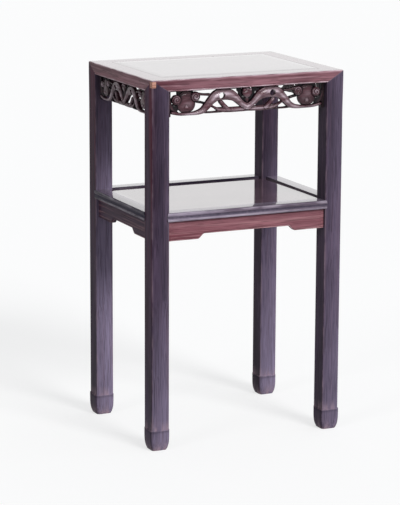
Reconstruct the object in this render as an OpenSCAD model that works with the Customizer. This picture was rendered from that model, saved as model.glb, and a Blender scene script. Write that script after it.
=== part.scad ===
// Small two-tier hardwood stand: four square legs, a mitred top frame with a flush panel,
// carved aprons under the top, and a moulded shelf frame with plain bracket aprons.
// Millimetres. The origin is on the floor under the middle, the front faces -Y.

/* [Overall] */
// Width over the legs, left to right
stand_w = 450; // [400:1:520]
// Depth over the legs, front to back
stand_d = 350; // [310:1:420]
// Height of the top surface
stand_h = 800; // [720:1:880]

/* [Legs] */
// Side of the square leg, and width of the top rails
leg_w = 40; // [36:0.5:46]
// Height of the foot block
foot_h = 46; // [30:1:60]
// How far the foot block stands out from the leg's faces
foot_proud = 2; // [0.5:0.5:4]
// How far the foot draws in from the leg's faces at the floor
foot_inset = 3; // [2:0.5:8]

/* [Top frame] */
// Height of the top rails
top_rail_h = 25; // [23:0.5:32]
// Thickness of the top panel
top_panel_t = 12; // [10:0.5:14]
// Gap round the top panel, in which the wood can move
panel_gap = 0.3; // [0.2:0.1:1.5]
// Depth of the batten below the top panel
top_batten_h = 11; // [8:0.5:12]

/* [Carved aprons] */
// Height of the carved aprons
carved_h = 54; // [46:1:64]
// Thickness of the carved aprons
carved_t = 11; // [9:0.5:13]
// How far all aprons lie back from the legs' faces
apron_recess = 7; // [4:0.5:9]
// Height of the strip that joins the carving along its upper edge
carved_strip_h = 2.5; // [2:0.5:5]
// Width of the plain strips at the ends of the carving
carved_end_w = 8; // [7:1:12]
// Across the eye-shaped hole in the arch of the carved stem
carved_eye_d = 14; // [8:0.5:15]

/* [Shelf] */
// Height of the shelf rails' upper face above the floor
shelf_z = 517.5; // [440:0.5:560]
// Height of the shelf rails
shelf_rail_h = 19; // [18:0.5:24]
// Width of the shelf rails, which are narrower than the legs
shelf_rail_w = 29; // [27:0.5:33]
// How far the moulded rail stands out from the legs' faces
shelf_proud = 2; // [1.5:0.5:4]
// How far the moulded rail laps over the legs' faces
shelf_lap = 3; // [1:0.5:6]
// How far the shelf panel lies below the rails
shelf_step = 3.5; // [3:0.5:6]
// Thickness of the shelf panel
shelf_panel_t = 8; // [7:0.5:9]
// Depth of the batten below the shelf panel
shelf_batten_h = 13; // [9:0.5:18]

/* [Rail moulding] */
// Radius of the moulding's upper edge
mould_round = 2.5; // [1:0.5:4]
// Height of the hollow in the moulding
cove_h = 6.5; // [4:0.5:8]
// Depth of the hollow
cove_depth = 1.4; // [0.6:0.1:1.4]
// Height of the bead along the lower edge
bead_h = 5.5; // [3:0.5:7]
// Depth of the bead
bead_depth = 1.4; // [0.6:0.1:1.4]

/* [Bracket aprons] */
// Height of the bracket aprons at mid length
bracket_apron_h = 32; // [24:1:44]
// Thickness of the bracket aprons
bracket_apron_t = 10; // [8:0.5:12]
// How far the bracket ends drop below the middle
bracket_drop = 11; // [6:0.5:18]
// Length of a bracket's straight lower edge, from the leg
bracket_l = 69; // [40:1:90]
// Length of the curve that ends a bracket
bracket_curve_l = 17; // [12:1:30]

/* [Joints] */
// Clearance in the mortises and grooves
fit_gap = 0.2; // [0.1:0.05:0.3]
// Depth of the panels' tongues
tongue_l = 5; // [3:0.5:6]
// Thickness of the panels' tongues
tongue_t = 4; // [3:0.5:5]
// Length of the shelf rails' tenons
tenon_l = 14; // [8:0.5:15]
// Thickness of the shelf rails' tenons
tenon_t = 8; // [6:0.5:9]
// Height of the shelf rails' tenons
tenon_h = 12; // [8:0.5:14]
// How far the tenons lie inside a leg's face
tenon_in = 12; // [10:0.5:12]
// Thickness of the pegs at the head of a leg
peg_t = 8; // [6:0.5:8]
// Width of the pegs at the head of a leg
peg_w = 10; // [6:0.5:10]
// How far a peg lies inside the leg's outer face
peg_in = 8; // [6:0.5:8]
// Wood between a peg and the leg's inner face
peg_edge = 4; // [3:0.5:5]
// Wood left above the pegs
peg_cover = 10; // [8:0.5:12]
// Length of the aprons' end tongues
apron_tongue_l = 5; // [3:0.5:6]
// Thickness of the aprons' end tongues
apron_tongue_t = 5; // [3:0.5:6]
// Height of the tenons that cross the mitres of the top rails
mitre_tenon_h = 6; // [4:0.5:7]
// Length of the tenons that cross the mitres of the top rails
mitre_tenon_l = 15; // [10:0.5:17]
// Wood between a mitre tenon and the pegs beside it
mitre_tenon_wall = 1; // [0.8:0.1:1.5]
// Wood above and below the aprons' end tongues
apron_tongue_edge = 8; // [5:0.5:10]
// Width of the battens
batten_w = 26; // [18:1:36]
// Length of the battens' end tenons
batten_tenon_l = 9; // [5:0.5:11]
// Height of the battens' end tenons
batten_tenon_h = 4; // [3:0.5:5]
// Height of the dovetail on a batten
dovetail_h = 3; // [2:0.5:3]
// How much the dovetail spreads on each side
dovetail_spread = 1.5; // [0.5:0.5:2.5]

/* [Corner patch] */
// Width of the patch on the front face
patch_w = 10.5; // [6:0.5:12]
// Width of the patch on the left face
patch_d = 12; // [6:0.5:13]
// Height of the patch
patch_h = 13.5; // [8:0.5:14]
// Wood left above the patch
patch_cover = 2.5; // [2:0.5:5]

/* [Hidden] */

WOOD = "#4a2a2c";
DARK_WOOD = "#3a2630";
RED_WOOD = "#6e3a38";
PALE_WOOD = "#c98a52";

// Corners are [right?, back?]. The sides go anticlockwise seen from above, and each one runs from the
// corner with its own number to the next.
FRONT_LEFT = [0, 0];
FRONT_RIGHT = [1, 0];
BACK_LEFT = [0, 1];
BACK_RIGHT = [1, 1];
CORNERS = [FRONT_LEFT, FRONT_RIGHT, BACK_RIGHT, BACK_LEFT];
SIDES = ["front", "right", "back", "left"];

// Overshoot of a cutting shape past the face that it opens.
past = 1;
top_rail_z = stand_h - top_rail_h;
top_panel_z = stand_h - top_panel_t;
shelf_rail_z = shelf_z - shelf_rail_h;
shelf_panel_z = shelf_z - shelf_step - shelf_panel_t;
carved_z = top_rail_z - carved_h;
bracket_mid_z = shelf_rail_z - bracket_apron_h;
bracket_z = bracket_mid_z - bracket_drop;
patch_z = stand_h - patch_cover - patch_h;
inner_w = stand_w - 2 * leg_w;
inner_d = stand_d - 2 * leg_w;
shelf_inner_w = stand_w - 2 * shelf_rail_w;
shelf_inner_d = stand_d - 2 * shelf_rail_w;

function number(side) = search([side], SIDES)[0];
function is_long(side) = side == "front" || side == "back";
function side_length(side) = is_long(side) ? stand_w : stand_d;
function side_depth(side) = is_long(side) ? stand_d : stand_w;
function between_legs(side) = side_length(side) - 2 * leg_w;

// Places a shape drawn in a corner's own frame: x and y run inward from the two outer faces.
module at_corner(corner) {
    mirror([corner[0], 0, 0])
        mirror([0, corner[1], 0])
            translate([-stand_w / 2, -stand_d / 2, 0])
                children();
}

// Places a shape drawn in a side's own frame: x along it from its middle, y inward from the legs' faces.
module at_side(side) {
    rotate([0, 0, 90 * number(side)])
        translate([0, -side_depth(side) / 2, 0])
            children();
}

// Repeats a shape with x and y exchanged, for the two sides that meet at a corner.
module both_ways() {
    children();
    mirror([1, -1, 0]) children();
}

// Repeats a shape at both ends of a side.
module both_ends() {
    children();
    mirror([1, 0, 0]) children();
}

// Stands a drawing up on a side: drawn x stays along the side, drawn y becomes height.
module board(y, thickness) {
    translate([0, y + thickness, 0])
        rotate([90, 0, 0])
            linear_extrude(thickness) children();
}

// Runs a cross-section along a side: drawn x is the way inward, drawn y is height.
module run_along(length) {
    translate([-length / 2, 0, 0])
        rotate([90, 0, 90])
            linear_extrude(length) children();
}

// Points on an ellipse, from one angle to another.
function arc(cx, cy, rx, ry, from, to, steps = 10) =
    [for (i = [0 : steps]) let (a = from + (to - from) * i / steps) [cx + rx * cos(a), cy + ry * sin(a)]];

// Legs

// The foot's outward offset at a share of its height: in at the floor, swelling to its shoulder.
function foot_offset(t) = foot_proud - (foot_proud + foot_inset) * pow(1 - t, foot_swell);

foot_steps = 10;
foot_swell = 4.5;
foot_outline = concat(
    [for (i = [0 : foot_steps]) [leg_w + foot_offset(i / foot_steps), foot_h * i / foot_steps]],
    [for (i = [foot_steps : -1 : 0]) [-foot_offset(i / foot_steps), foot_h * i / foot_steps]]);

module foot_run() {
    translate([0, leg_w + foot_proud, 0])
        rotate([90, 0, 0])
            linear_extrude(leg_w + 2 * foot_proud) polygon(foot_outline);
}

module foot() {
    intersection() {
        foot_run();
        mirror([1, -1, 0]) foot_run();
    }
}

// A wedge that falls from the stand's upper edge to the underside of the top rail.
module mitre_wedge() {
    translate([0, leg_w, 0])
        rotate([90, 0, 0])
            linear_extrude(leg_w)
                polygon([[0, top_rail_z], [leg_w, top_rail_z], [0, stand_h]]);
}

module patch_column() {
    translate([-past, -past, patch_z])
        cube([patch_w + past, patch_d + past, stand_h]);
}

// The leg's share of a three-way mitre: a pyramid whose tip is the stand's upper corner.
module leg_head(corner) {
    difference() {
        intersection() {
            mitre_wedge();
            mirror([1, -1, 0]) mitre_wedge();
        }
        if (corner == FRONT_LEFT) patch_column();
    }
}

// The two pegs that rise from a leg into the rails.
module leg_pegs(gap = 0) {
    both_ways()
        translate([leg_w - peg_edge - peg_w - gap, peg_in - gap, top_rail_z - past])
            cube([peg_w + 2 * gap, peg_t + 2 * gap, top_rail_h - peg_cover + past + gap]);
}

// Mortises in a leg for one of the sides that meet there.
module leg_mortises() {
    leg_mortise(tenon_l, tenon_in, tenon_t, shelf_rail_z + (shelf_rail_h - tenon_h) / 2, tenon_h);
    leg_mortise(apron_tongue_l, apron_tongue_in(carved_t), apron_tongue_t,
        carved_z + apron_tongue_edge, carved_h - 2 * apron_tongue_edge);
    leg_mortise(apron_tongue_l, apron_tongue_in(bracket_apron_t), apron_tongue_t,
        bracket_z + apron_tongue_edge, shelf_rail_z - bracket_z - 2 * apron_tongue_edge);
}

function apron_tongue_in(thickness) = apron_recess + (thickness - apron_tongue_t) / 2;

module leg_mortise(length, y, thickness, z, height) {
    translate([leg_w - length - fit_gap, y - fit_gap, z - fit_gap])
        cube([length + fit_gap + past, thickness + 2 * fit_gap, height + 2 * fit_gap]);
}

module leg(corner) {
    color(WOOD)
        at_corner(corner)
            difference() {
                union() {
                    foot();
                    translate([0, 0, foot_h]) cube([leg_w, leg_w, top_rail_z - foot_h]);
                    leg_head(corner);
                    leg_pegs();
                }
                both_ways() leg_mortises();
            }
}

// Top frame

// The tenon that crosses the mitre from a long rail into a short one, in the corner's own frame.
mitre_tenon_y = peg_in + peg_t + mitre_tenon_wall;
mitre_tenon_t = leg_w - peg_edge - peg_w - mitre_tenon_wall - mitre_tenon_y;

module mitre_tenon(gap = 0) {
    tip_x = mitre_tenon_y + mitre_tenon_t - mitre_tenon_l;
    translate([tip_x - gap, mitre_tenon_y - gap, stand_h - peg_cover - gap])
        cube([mitre_tenon_l + 2 * gap, mitre_tenon_t + 2 * gap, mitre_tenon_h + 2 * gap]);
}

top_tongue_z = top_panel_z + (top_panel_t - tongue_t) / 2;

module top_rail(side) {
    length = side_length(side);
    color(RED_WOOD)
        difference() {
            at_side(side) {
                translate([0, 0, top_rail_z])
                    linear_extrude(top_rail_h)
                        polygon([[-length / 2, 0], [length / 2, 0],
                            [length / 2 - leg_w, leg_w], [-length / 2 + leg_w, leg_w]]);
                if (is_long(side))
                    both_ends() translate([-length / 2, 0, 0]) mitre_tenon();
            }
            for (i = [0, 1]) {
                corner = CORNERS[(number(side) + i) % len(CORNERS)];
                at_corner(corner) {
                    leg_head(corner);
                    leg_pegs(fit_gap);
                    if (!is_long(side)) mitre_tenon(fit_gap);
                }
            }
            translate([0, 0, top_tongue_z])
                panel_blank(panel_reach, tongue_t + fit_gap);
            if (is_long(side)) batten_tenons(fit_gap, top_panel_z, inner_d);
            corner_patch_block();
        }
}

// How far the grooves reach outside the opening between the rails.
panel_reach = tongue_l + fit_gap;

// A flat board over the opening between the rails, larger by a margin on every side.
module panel_blank(margin, thickness) {
    translate([-inner_w / 2 - margin, -inner_d / 2 - margin, 0])
        cube([inner_w + 2 * margin, inner_d + 2 * margin, thickness]);
}

module top_panel() {
    color(WOOD)
        difference() {
            union() {
                translate([0, 0, top_panel_z]) panel_blank(-panel_gap, top_panel_t);
                translate([0, 0, top_tongue_z]) panel_blank(tongue_l, tongue_t);
            }
            dovetail(fit_gap, top_panel_z, inner_d);
        }
}

// A batten's end tenons, just below the panel that it carries.
module batten_tenons(gap, panel_z, span) {
    length = span + 2 * (batten_tenon_l + gap);
    translate([-batten_w / 2 - gap, -length / 2, panel_z - batten_tenon_h - gap])
        cube([batten_w + 2 * gap, length, batten_tenon_h + 2 * gap]);
}

// The dovetail along a batten, which slides into the underside of the panel.
module dovetail(gap, panel_z, span) {
    foot_w = batten_w / 2 - dovetail_spread + gap;
    head_w = batten_w / 2 + gap;
    translate([0, span / 2 - panel_gap + gap, panel_z])
        rotate([90, 0, 0])
            linear_extrude(span - 2 * panel_gap + 2 * gap)
                polygon([[-foot_w, 0], [foot_w, 0], [head_w, dovetail_h + gap], [-head_w, dovetail_h + gap]]);
}

module batten(panel_z, height, span) {
    color(DARK_WOOD) {
        translate([-batten_w / 2, -span / 2, panel_z - height])
            cube([batten_w, span, height]);
        batten_tenons(0, panel_z, span);
        dovetail(0, panel_z, span);
    }
}

// The patch let into the upper front left corner.
module corner_patch_block() {
    at_corner(FRONT_LEFT)
        translate([0, 0, patch_z])
            cube([patch_w, patch_d, patch_h]);
}

module corner_patch() {
    color(PALE_WOOD) corner_patch_block();
}

// Carved aprons

// The carving is drawn once, for one half of an apron of this half length and height.
motif_l = 187;
motif_h = 54;

// Each stem is a row of [along, height, width], from its root outward. Heights run down from the rail.
MAIN_STEM = [[0, -43, 13], [14, -35, 13], [28, -22, 18], [42, -15, 24], [58, -13.5, 25], [72, -16, 23],
    [84, -25, 18], [94, -36, 16], [104, -45, 13], [118, -49.5, 9], [138, -51, 6], [158, -50.5, 6],
    [176, -47, 6]];
LOWER_VINE = [[0, -47, 11], [18, -47.5, 11], [40, -47.5, 11], [56, -46.5, 11], [68, -45, 8], [76, -41, 5],
    [84, -37, 5]];
VINE_TWIST = [[44, -46, 8], [54, -38, 9], [62, -29, 9]];
VINE_RIM = [[60, -49.5, 6], [76, -50.5, 4], [90, -50.5, 4], [102, -49, 6]];
BUD_STEM = [[0, -44, 9], [0, -30, 11], [0, -18, 14]];
BUD_LEAF = [[0, -37, 5], [8, -29, 6], [14, -19, 8], [16, -7, 10]];
TENDRIL = [[116, -10, 6], [101, -12, 5], [88, -13, 6]];
HEAD_POST = [[145, 0, 38], [145, -10, 38]];
HEAD_BROW = [[182, -22, 7], [166, -20, 14], [143, -15, 22], [121, -15, 14]];
HEAD_LINK = [[118, -26, 6], [105, -29, 5.5], [94, -33, 7]];
END_LEAF = [[182, -24, 8], [178, -35, 11], [171, -44, 11], [162, -49.5, 7]];
STEMS = [MAIN_STEM, LOWER_VINE, VINE_TWIST, VINE_RIM, BUD_STEM, BUD_LEAF, TENDRIL, HEAD_POST, HEAD_BROW,
    HEAD_LINK, END_LEAF];

// Round masses are [along, height, radius]: the head's volutes, body and leaf, then the bud and its leaf.
MASSES = [[166, -20, 10.5], [121, -15, 10.5], [143, -21, 19], [143, -29, 21], [168, -36, 9],
    [0, -12, 11.5], [18, -6, 5.5]];
EYE = [60, -16];
stem_steps = 5;

// One step along a smooth curve through four points, from b to c.
function through(a, b, c, d, t) =
    (2 * b + (c - a) * t + (2 * a - 5 * b + 4 * c - d) * t * t + (3 * b - a - 3 * c + d) * t * t * t) / 2;

function smooth(p) = let (last = len(p) - 1) concat(
    [for (i = [0 : last - 1], k = [0 : stem_steps - 1])
        through(p[max(i - 1, 0)], p[i], p[i + 1], p[min(i + 2, last)], k / stem_steps)],
    [p[last]]);

// The outline of a stem: its two edges lie half a width to each side of its middle line.
function stem_edge(p, side) = [for (i = [0 : len(p) - 1])
    let (way = p[min(i + 1, len(p) - 1)] - p[max(i - 1, 0)])
    let (reach = side * p[i][2] / 2 / norm([way[0], way[1]]))
    [p[i][0] - way[1] * reach, p[i][1] + way[0] * reach]];

function reversed(p) = [for (i = [len(p) - 1 : -1 : 0]) p[i]];

function stem_outline(p) = let (s = smooth(p)) concat(stem_edge(s, 1), reversed(stem_edge(s, -1)));

// The carving's drawing for a given half length, with its upper edge on height 0.
module carving(half_l) {
    along = half_l / motif_l;
    up = carved_h / motif_h;
    thick = min(along, up);
    difference() {
        union() {
            translate([-half_l, -carved_strip_h]) square([2 * half_l, carved_strip_h]);
            for (side = [-1, 1]) {
                translate([side > 0 ? half_l - carved_end_w : -half_l, -carved_h])
                    square([carved_end_w, carved_h]);
                for (stem = STEMS)
                    polygon(stem_outline([for (p = stem) [side * along * p[0], up * p[1], thick * p[2]]]));
                for (m = MASSES)
                    translate([side * along * m[0], up * m[1]]) circle(thick * m[2], $fn = 40);
            }
        }
        for (side = [-1, 1])
            translate([side * along * EYE[0], up * EYE[1]]) circle(d = thick * carved_eye_d, $fn = 32);
    }
}

// The end tongues of an apron, which slide into the legs.
module apron_tongues(side, thickness, z, height) {
    both_ends()
        translate([between_legs(side) / 2 - past, apron_tongue_in(thickness), z + apron_tongue_edge])
            cube([apron_tongue_l + past, apron_tongue_t, height - 2 * apron_tongue_edge]);
}

module carved_apron(side) {
    color(DARK_WOOD)
        at_side(side) {
            translate([0, 0, top_rail_z])
                board(apron_recess, carved_t) carving(between_legs(side) / 2);
            apron_tongues(side, carved_t, carved_z, carved_h);
        }
}

// Shelf

// Cross-section of a shelf rail: rounded upper edge, flat, hollow, and a bead along the lower edge.
module shelf_rail_section() {
    face = -shelf_proud;
    polygon(concat(
        [[shelf_rail_w, 0], [shelf_rail_w, shelf_rail_h]],
        arc(face + mould_round, shelf_rail_h - mould_round, mould_round, mould_round, 90, 180),
        arc(face, bead_h + cove_h / 2, cove_depth, cove_h / 2, 90, -90),
        arc(face + bead_depth, bead_h / 2, bead_depth, bead_h / 2, 90, 270)));
}

// The part of that section that stands out from the legs' faces and laps over them.
module shelf_lap_section() {
    intersection() {
        shelf_rail_section();
        translate([-shelf_proud, 0]) square([shelf_proud, shelf_rail_h]);
    }
}

shelf_tongue_z = shelf_panel_z + (shelf_panel_t - tongue_t) / 2;

// A board over the opening between the shelf rails, larger by a margin on every side and notched round
// the legs with a gap: two crossed boards, each as wide as the space between the legs.
module shelf_board(margin, gap, thickness) {
    for (size = [[shelf_inner_w + 2 * margin, inner_d - 2 * gap], [inner_w - 2 * gap, shelf_inner_d + 2 * margin]])
        translate([-size[0] / 2, -size[1] / 2, 0])
            cube([size[0], size[1], thickness]);
}

module shelf_rail(side) {
    length = between_legs(side);
    tenoned = length + 2 * tenon_l;
    color(DARK_WOOD)
        difference() {
            at_side(side)
                translate([0, 0, shelf_rail_z]) {
                    run_along(length) shelf_rail_section();
                    run_along(length + 2 * shelf_lap) shelf_lap_section();
                    translate([-tenoned / 2, tenon_in, (shelf_rail_h - tenon_h) / 2])
                        cube([tenoned, tenon_t, tenon_h]);
                }
            translate([0, 0, shelf_tongue_z]) shelf_board(panel_reach, 0, tongue_t + fit_gap);
            if (is_long(side)) batten_tenons(fit_gap, shelf_panel_z, shelf_inner_d);
        }
}

module shelf_panel() {
    color(WOOD)
        difference() {
            union() {
                translate([0, 0, shelf_panel_z]) shelf_board(-panel_gap, panel_gap, shelf_panel_t);
                translate([0, 0, shelf_tongue_z]) shelf_board(tongue_l, panel_gap, tongue_t);
            }
            dovetail(fit_gap, shelf_panel_z, shelf_inner_d);
        }
}

// Bracket aprons

// The lower edge of a bracket apron, from the middle to one leg: straight, an S-curve, straight again.
function bracket_edge(half_l) =
    let (curve_x = half_l - bracket_l - bracket_curve_l)
    concat(
        [[0, bracket_drop]],
        [for (i = [0 : curve_steps]) [curve_x + bracket_curve_l * i / curve_steps,
            bracket_drop * (1 + cos(180 * i / curve_steps)) / 2]],
        [[half_l, 0]]);

curve_steps = 12;

module bracket_apron(side) {
    half_l = between_legs(side) / 2;
    height = shelf_rail_z - bracket_z;
    color(RED_WOOD)
        at_side(side) {
            translate([0, 0, bracket_z])
                board(apron_recess, bracket_apron_t)
                    both_ends()
                        polygon(concat([[0, height]], bracket_edge(half_l), [[half_l, height]]));
            apron_tongues(side, bracket_apron_t, bracket_z, height);
        }
}

leg(FRONT_LEFT);  // front_left_leg
leg(FRONT_RIGHT);  // front_right_leg
leg(BACK_LEFT);  // back_left_leg
leg(BACK_RIGHT);  // back_right_leg
top_rail("front");  // top_front_rail
top_rail("right");  // top_right_rail
top_rail("back");  // top_back_rail
top_rail("left");  // top_left_rail
top_panel();
batten(top_panel_z, top_batten_h, inner_d);  // top_batten
carved_apron("front");  // carved_front_apron
carved_apron("right");  // carved_right_apron
carved_apron("back");  // carved_back_apron
carved_apron("left");  // carved_left_apron
shelf_rail("front");  // shelf_front_rail
shelf_rail("right");  // shelf_right_rail
shelf_rail("back");  // shelf_back_rail
shelf_rail("left");  // shelf_left_rail
shelf_panel();
batten(shelf_panel_z, shelf_batten_h, shelf_inner_d);  // shelf_batten
bracket_apron("front");  // bracket_front_apron
bracket_apron("right");  // bracket_right_apron
bracket_apron("back");  // bracket_back_apron
bracket_apron("left");  // bracket_left_apron
corner_patch();
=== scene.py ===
"""Dresses a two-tier hardwood stand: mitred frame, carved aprons, moulded shelf, polish, floor and light."""
import logging
import math
from dataclasses import dataclass
from enum import Enum

import bpy
import numpy as np
from mathutils import Matrix, Vector


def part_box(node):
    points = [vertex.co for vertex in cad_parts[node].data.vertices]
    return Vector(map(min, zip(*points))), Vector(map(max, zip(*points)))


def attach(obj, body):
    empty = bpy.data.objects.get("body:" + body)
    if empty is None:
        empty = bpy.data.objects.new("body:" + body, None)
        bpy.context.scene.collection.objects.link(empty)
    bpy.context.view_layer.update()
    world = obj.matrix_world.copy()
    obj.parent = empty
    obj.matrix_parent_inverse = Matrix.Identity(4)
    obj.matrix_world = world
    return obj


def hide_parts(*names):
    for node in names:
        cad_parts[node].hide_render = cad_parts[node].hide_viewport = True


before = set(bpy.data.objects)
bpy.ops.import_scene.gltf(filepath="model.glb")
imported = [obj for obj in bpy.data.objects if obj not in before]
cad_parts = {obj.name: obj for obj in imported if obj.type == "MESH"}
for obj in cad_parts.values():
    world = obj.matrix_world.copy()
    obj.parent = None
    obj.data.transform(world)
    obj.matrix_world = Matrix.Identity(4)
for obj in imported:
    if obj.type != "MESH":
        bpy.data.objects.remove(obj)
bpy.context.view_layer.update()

LOG = logging.getLogger("stand")
MM = 0.001
BODY = "root"
SHARP_ANGLE = math.radians(38)
HAIR = 0.05 * MM
TINY = 1e-9
# What each piece carries: worn edges with painted highlights, darkening that is mostly painted shade,
# polish, and a colour shift that is partly the wood's own and partly painted shade and sheen.
MARKS = ("wear", "hollow", "polish", "tone")
Triple = tuple[float, float, float]
Rgb = Triple
Materials = dict[str, bpy.types.Material]

# Noise scales per metre: along the grain, then across it both ways.
FIGURE_SCALE: Triple = (4.0, 26.0, 26.0)
STREAK_SCALE: Triple = (2.6, 210.0, 210.0)
PORE_SCALE: Triple = (12.0, 900.0, 900.0)
TONE_SCALE: Triple = (2.4, 60.0, 60.0)
WEAR_SCALE: Triple = (24.0, 90.0, 90.0)
DARKENING_SCALE = 160.0
# The span of each noise that is stretched to 0 to 1.
FIGURE_SPAN = (0.32, 0.68)
STREAK_SPAN = (0.48, 0.72)
PORE_SPAN = (0.36, 0.56)
TONE_SPAN = (0.35, 0.65)
WEAR_SPAN = (0.34, 0.7)
# How far the figure bends the streaks in metres, the shade of the deepest pore, and the darkening noise's
# even share.
STREAK_SWAY = 0.014
PORE_SHADE = 0.55
DARKENING_EVEN = 0.35

# Where each kind of piece starts in the grain, and the step to the next one of its kind, in metres.
LEG_GRAIN = (0.0, 0.37)
TOP_RAIL_GRAIN = (3.1, 0.43)
CARVED_GRAIN = (6.2, 0.41)
SHELF_RAIL_GRAIN = (9.4, 0.47)
BRACKET_GRAIN = (12.7, 0.53)
TOP_PANEL_GRAIN = 15.3
SHELF_PANEL_GRAIN = 16.9
PATCH_GRAIN = 18.1

# Tones run from -1, the finish's colour of painted shade and painted sheen, through 0, its own, to 1, its
# warm one.
# Painted light: shade on the shelf rails and brackets of the sides, and a reflection on the top rails'
# polished tops.
SHADE_AND_SHEEN_TONE = -0.9
# Each leg's way to the right and to the back, then the values of its front and back faces and of its side
# faces, at the floor, part of the way up and at the top. Below 0 they paint a lighter reflection of the
# floor;
# above 0 the side faces take the wood's warm red.
LEGS: dict[str, tuple[int, int, Triple, Triple]] = {
    "front_left_leg": (-1, -1, (-0.75, -0.06, 0.0), (-0.2, 0.3, 0.9)),
    "front_right_leg": (1, -1, (-0.58, -0.27, -0.18), (-0.06, -0.08, -0.06)),
    "back_right_leg": (1, 1, (-0.95, -0.36, 0.15), (0.0, 0.0, 0.0)),
    "back_left_leg": (-1, 1, (-0.86, -0.98, -0.15), (-0.1, 0.1, 0.8)),
}


def srgb(red: int, green: int, blue: int) -> Rgb:
    """Turns a screen colour of 0 to 255 into linear light."""
    shares = np.array([red, green, blue]) / 255
    linear = np.where(shares > 0.04045, ((shares + 0.055) / 1.055) ** 2.4, shares / 12.92)
    return tuple(float(share) for share in linear)


def grain_start(start_and_step: tuple[float, float], number: int) -> float:
    """Gives the start in the grain of one of several like pieces."""
    start, step = start_and_step
    return start + step * number


def node_box(node: str) -> np.ndarray:
    """Gives a node's lowest and highest corner as two rows, in metres."""
    return np.array([list(corner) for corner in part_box(node)])


class Side(Enum):
    """The four sides of the stand, counted anticlockwise from the front as seen from above."""

    FRONT = 0
    RIGHT = 1
    BACK = 2
    LEFT = 3

    @property
    def word(self) -> str:
        """The side's name as the nodes spell it."""
        return self.name.lower()

    @property
    def is_long(self) -> bool:
        """Whether the side runs along the stand's width."""
        return self in (Side.FRONT, Side.BACK)


@dataclass(frozen=True)
class StandSizes:
    """The stand's main sizes in metres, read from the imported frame."""

    half_w: float
    half_d: float
    height: float
    leg: float
    rail_z: float
    shelf_z: float
    shelf_top: float
    shelf_proud: float
    shelf_rail: float
    foot_proud: float

    @classmethod
    def from_frame(cls) -> "StandSizes":
        """Reads the sizes from the boxes of the top rail, the shelf rail and a leg.

        Returns:
            The sizes.
        """
        measured = ("top_front_rail", "shelf_front_rail", "back_right_leg")
        rail, shelf, leg = (node_box(node) for node in measured)
        half_w, half_d = rail[1, 0], -rail[0, 1]
        return cls(half_w=half_w, half_d=half_d, height=rail[1, 2], leg=rail[1, 1] - rail[0, 1],
                   rail_z=rail[0, 2], shelf_z=shelf[0, 2], shelf_top=shelf[1, 2],
                   shelf_proud=-shelf[0, 1] - half_d, shelf_rail=shelf[1, 1] + half_d,
                   foot_proud=leg[1, 0] - half_w)

    def half_length(self, side: Side) -> float:
        """Half the length of a side, over the legs."""
        return self.half_w if side.is_long else self.half_d

    def half_span(self, side: Side) -> float:
        """Half the clear width between the legs of a side."""
        return self.half_length(side) - self.leg

    def place(self, points: np.ndarray, side: Side) -> np.ndarray:
        """Carries points from a side's own frame (along, inward, up) into the stand's frame.

        Args:
            points: Rows of points, with y measured inwards from the legs' outer faces.
            side: The side that the points belong to.

        Returns:
            The points in the stand's frame, turned by a quarter turn for each side.
        """
        reach = self.half_d if side.is_long else self.half_w
        along, out = points[..., 0], points[..., 1] - reach
        cos, sin = ((1, 0), (0, 1), (-1, 0), (0, -1))[side.value]
        return np.stack([cos * along - sin * out, sin * along + cos * out, points[..., 2]], axis=-1)

    def soften(self, points: np.ndarray, radius: float | np.ndarray) -> np.ndarray:
        """Rounds the stand's outer upright and top edges, leaving everything below its top faces as it is.

        A point is pulled towards the nearest point of a smaller box, inset by the radius, until it is one
        radius away from it.

        Args:
            points: Points in the stand's frame.
            radius: Radius of the rounded edges, for all points or for each.

        Returns:
            The rounded points.
        """
        inset = np.broadcast_to(radius, points.shape[:-1])[..., None]
        highest = np.array([self.half_w, self.half_d, self.height]) - inset
        lowest = np.where([True, True, False], -highest, -1.0)
        return pull_in(points, lowest, highest, inset)


def pull_in(points: np.ndarray, lowest: np.ndarray, highest: np.ndarray,
            radius: float | np.ndarray) -> np.ndarray:
    """Rounds a box: points further than the radius from an inner box move straight back to that distance.

    Args:
        points: Points on the sharp box, in two or three dimensions.
        lowest: Lowest corner of the inner box.
        highest: Highest corner of the inner box.
        radius: Radius of the rounded edges, for all points or for each.

    Returns:
        The rounded points.
    """
    nearest = np.clip(points, lowest, highest)
    away = points - nearest
    distance = np.linalg.norm(away, axis=-1, keepdims=True)
    return np.where(distance > radius, nearest + away * radius / np.maximum(distance, TINY), points)


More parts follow.
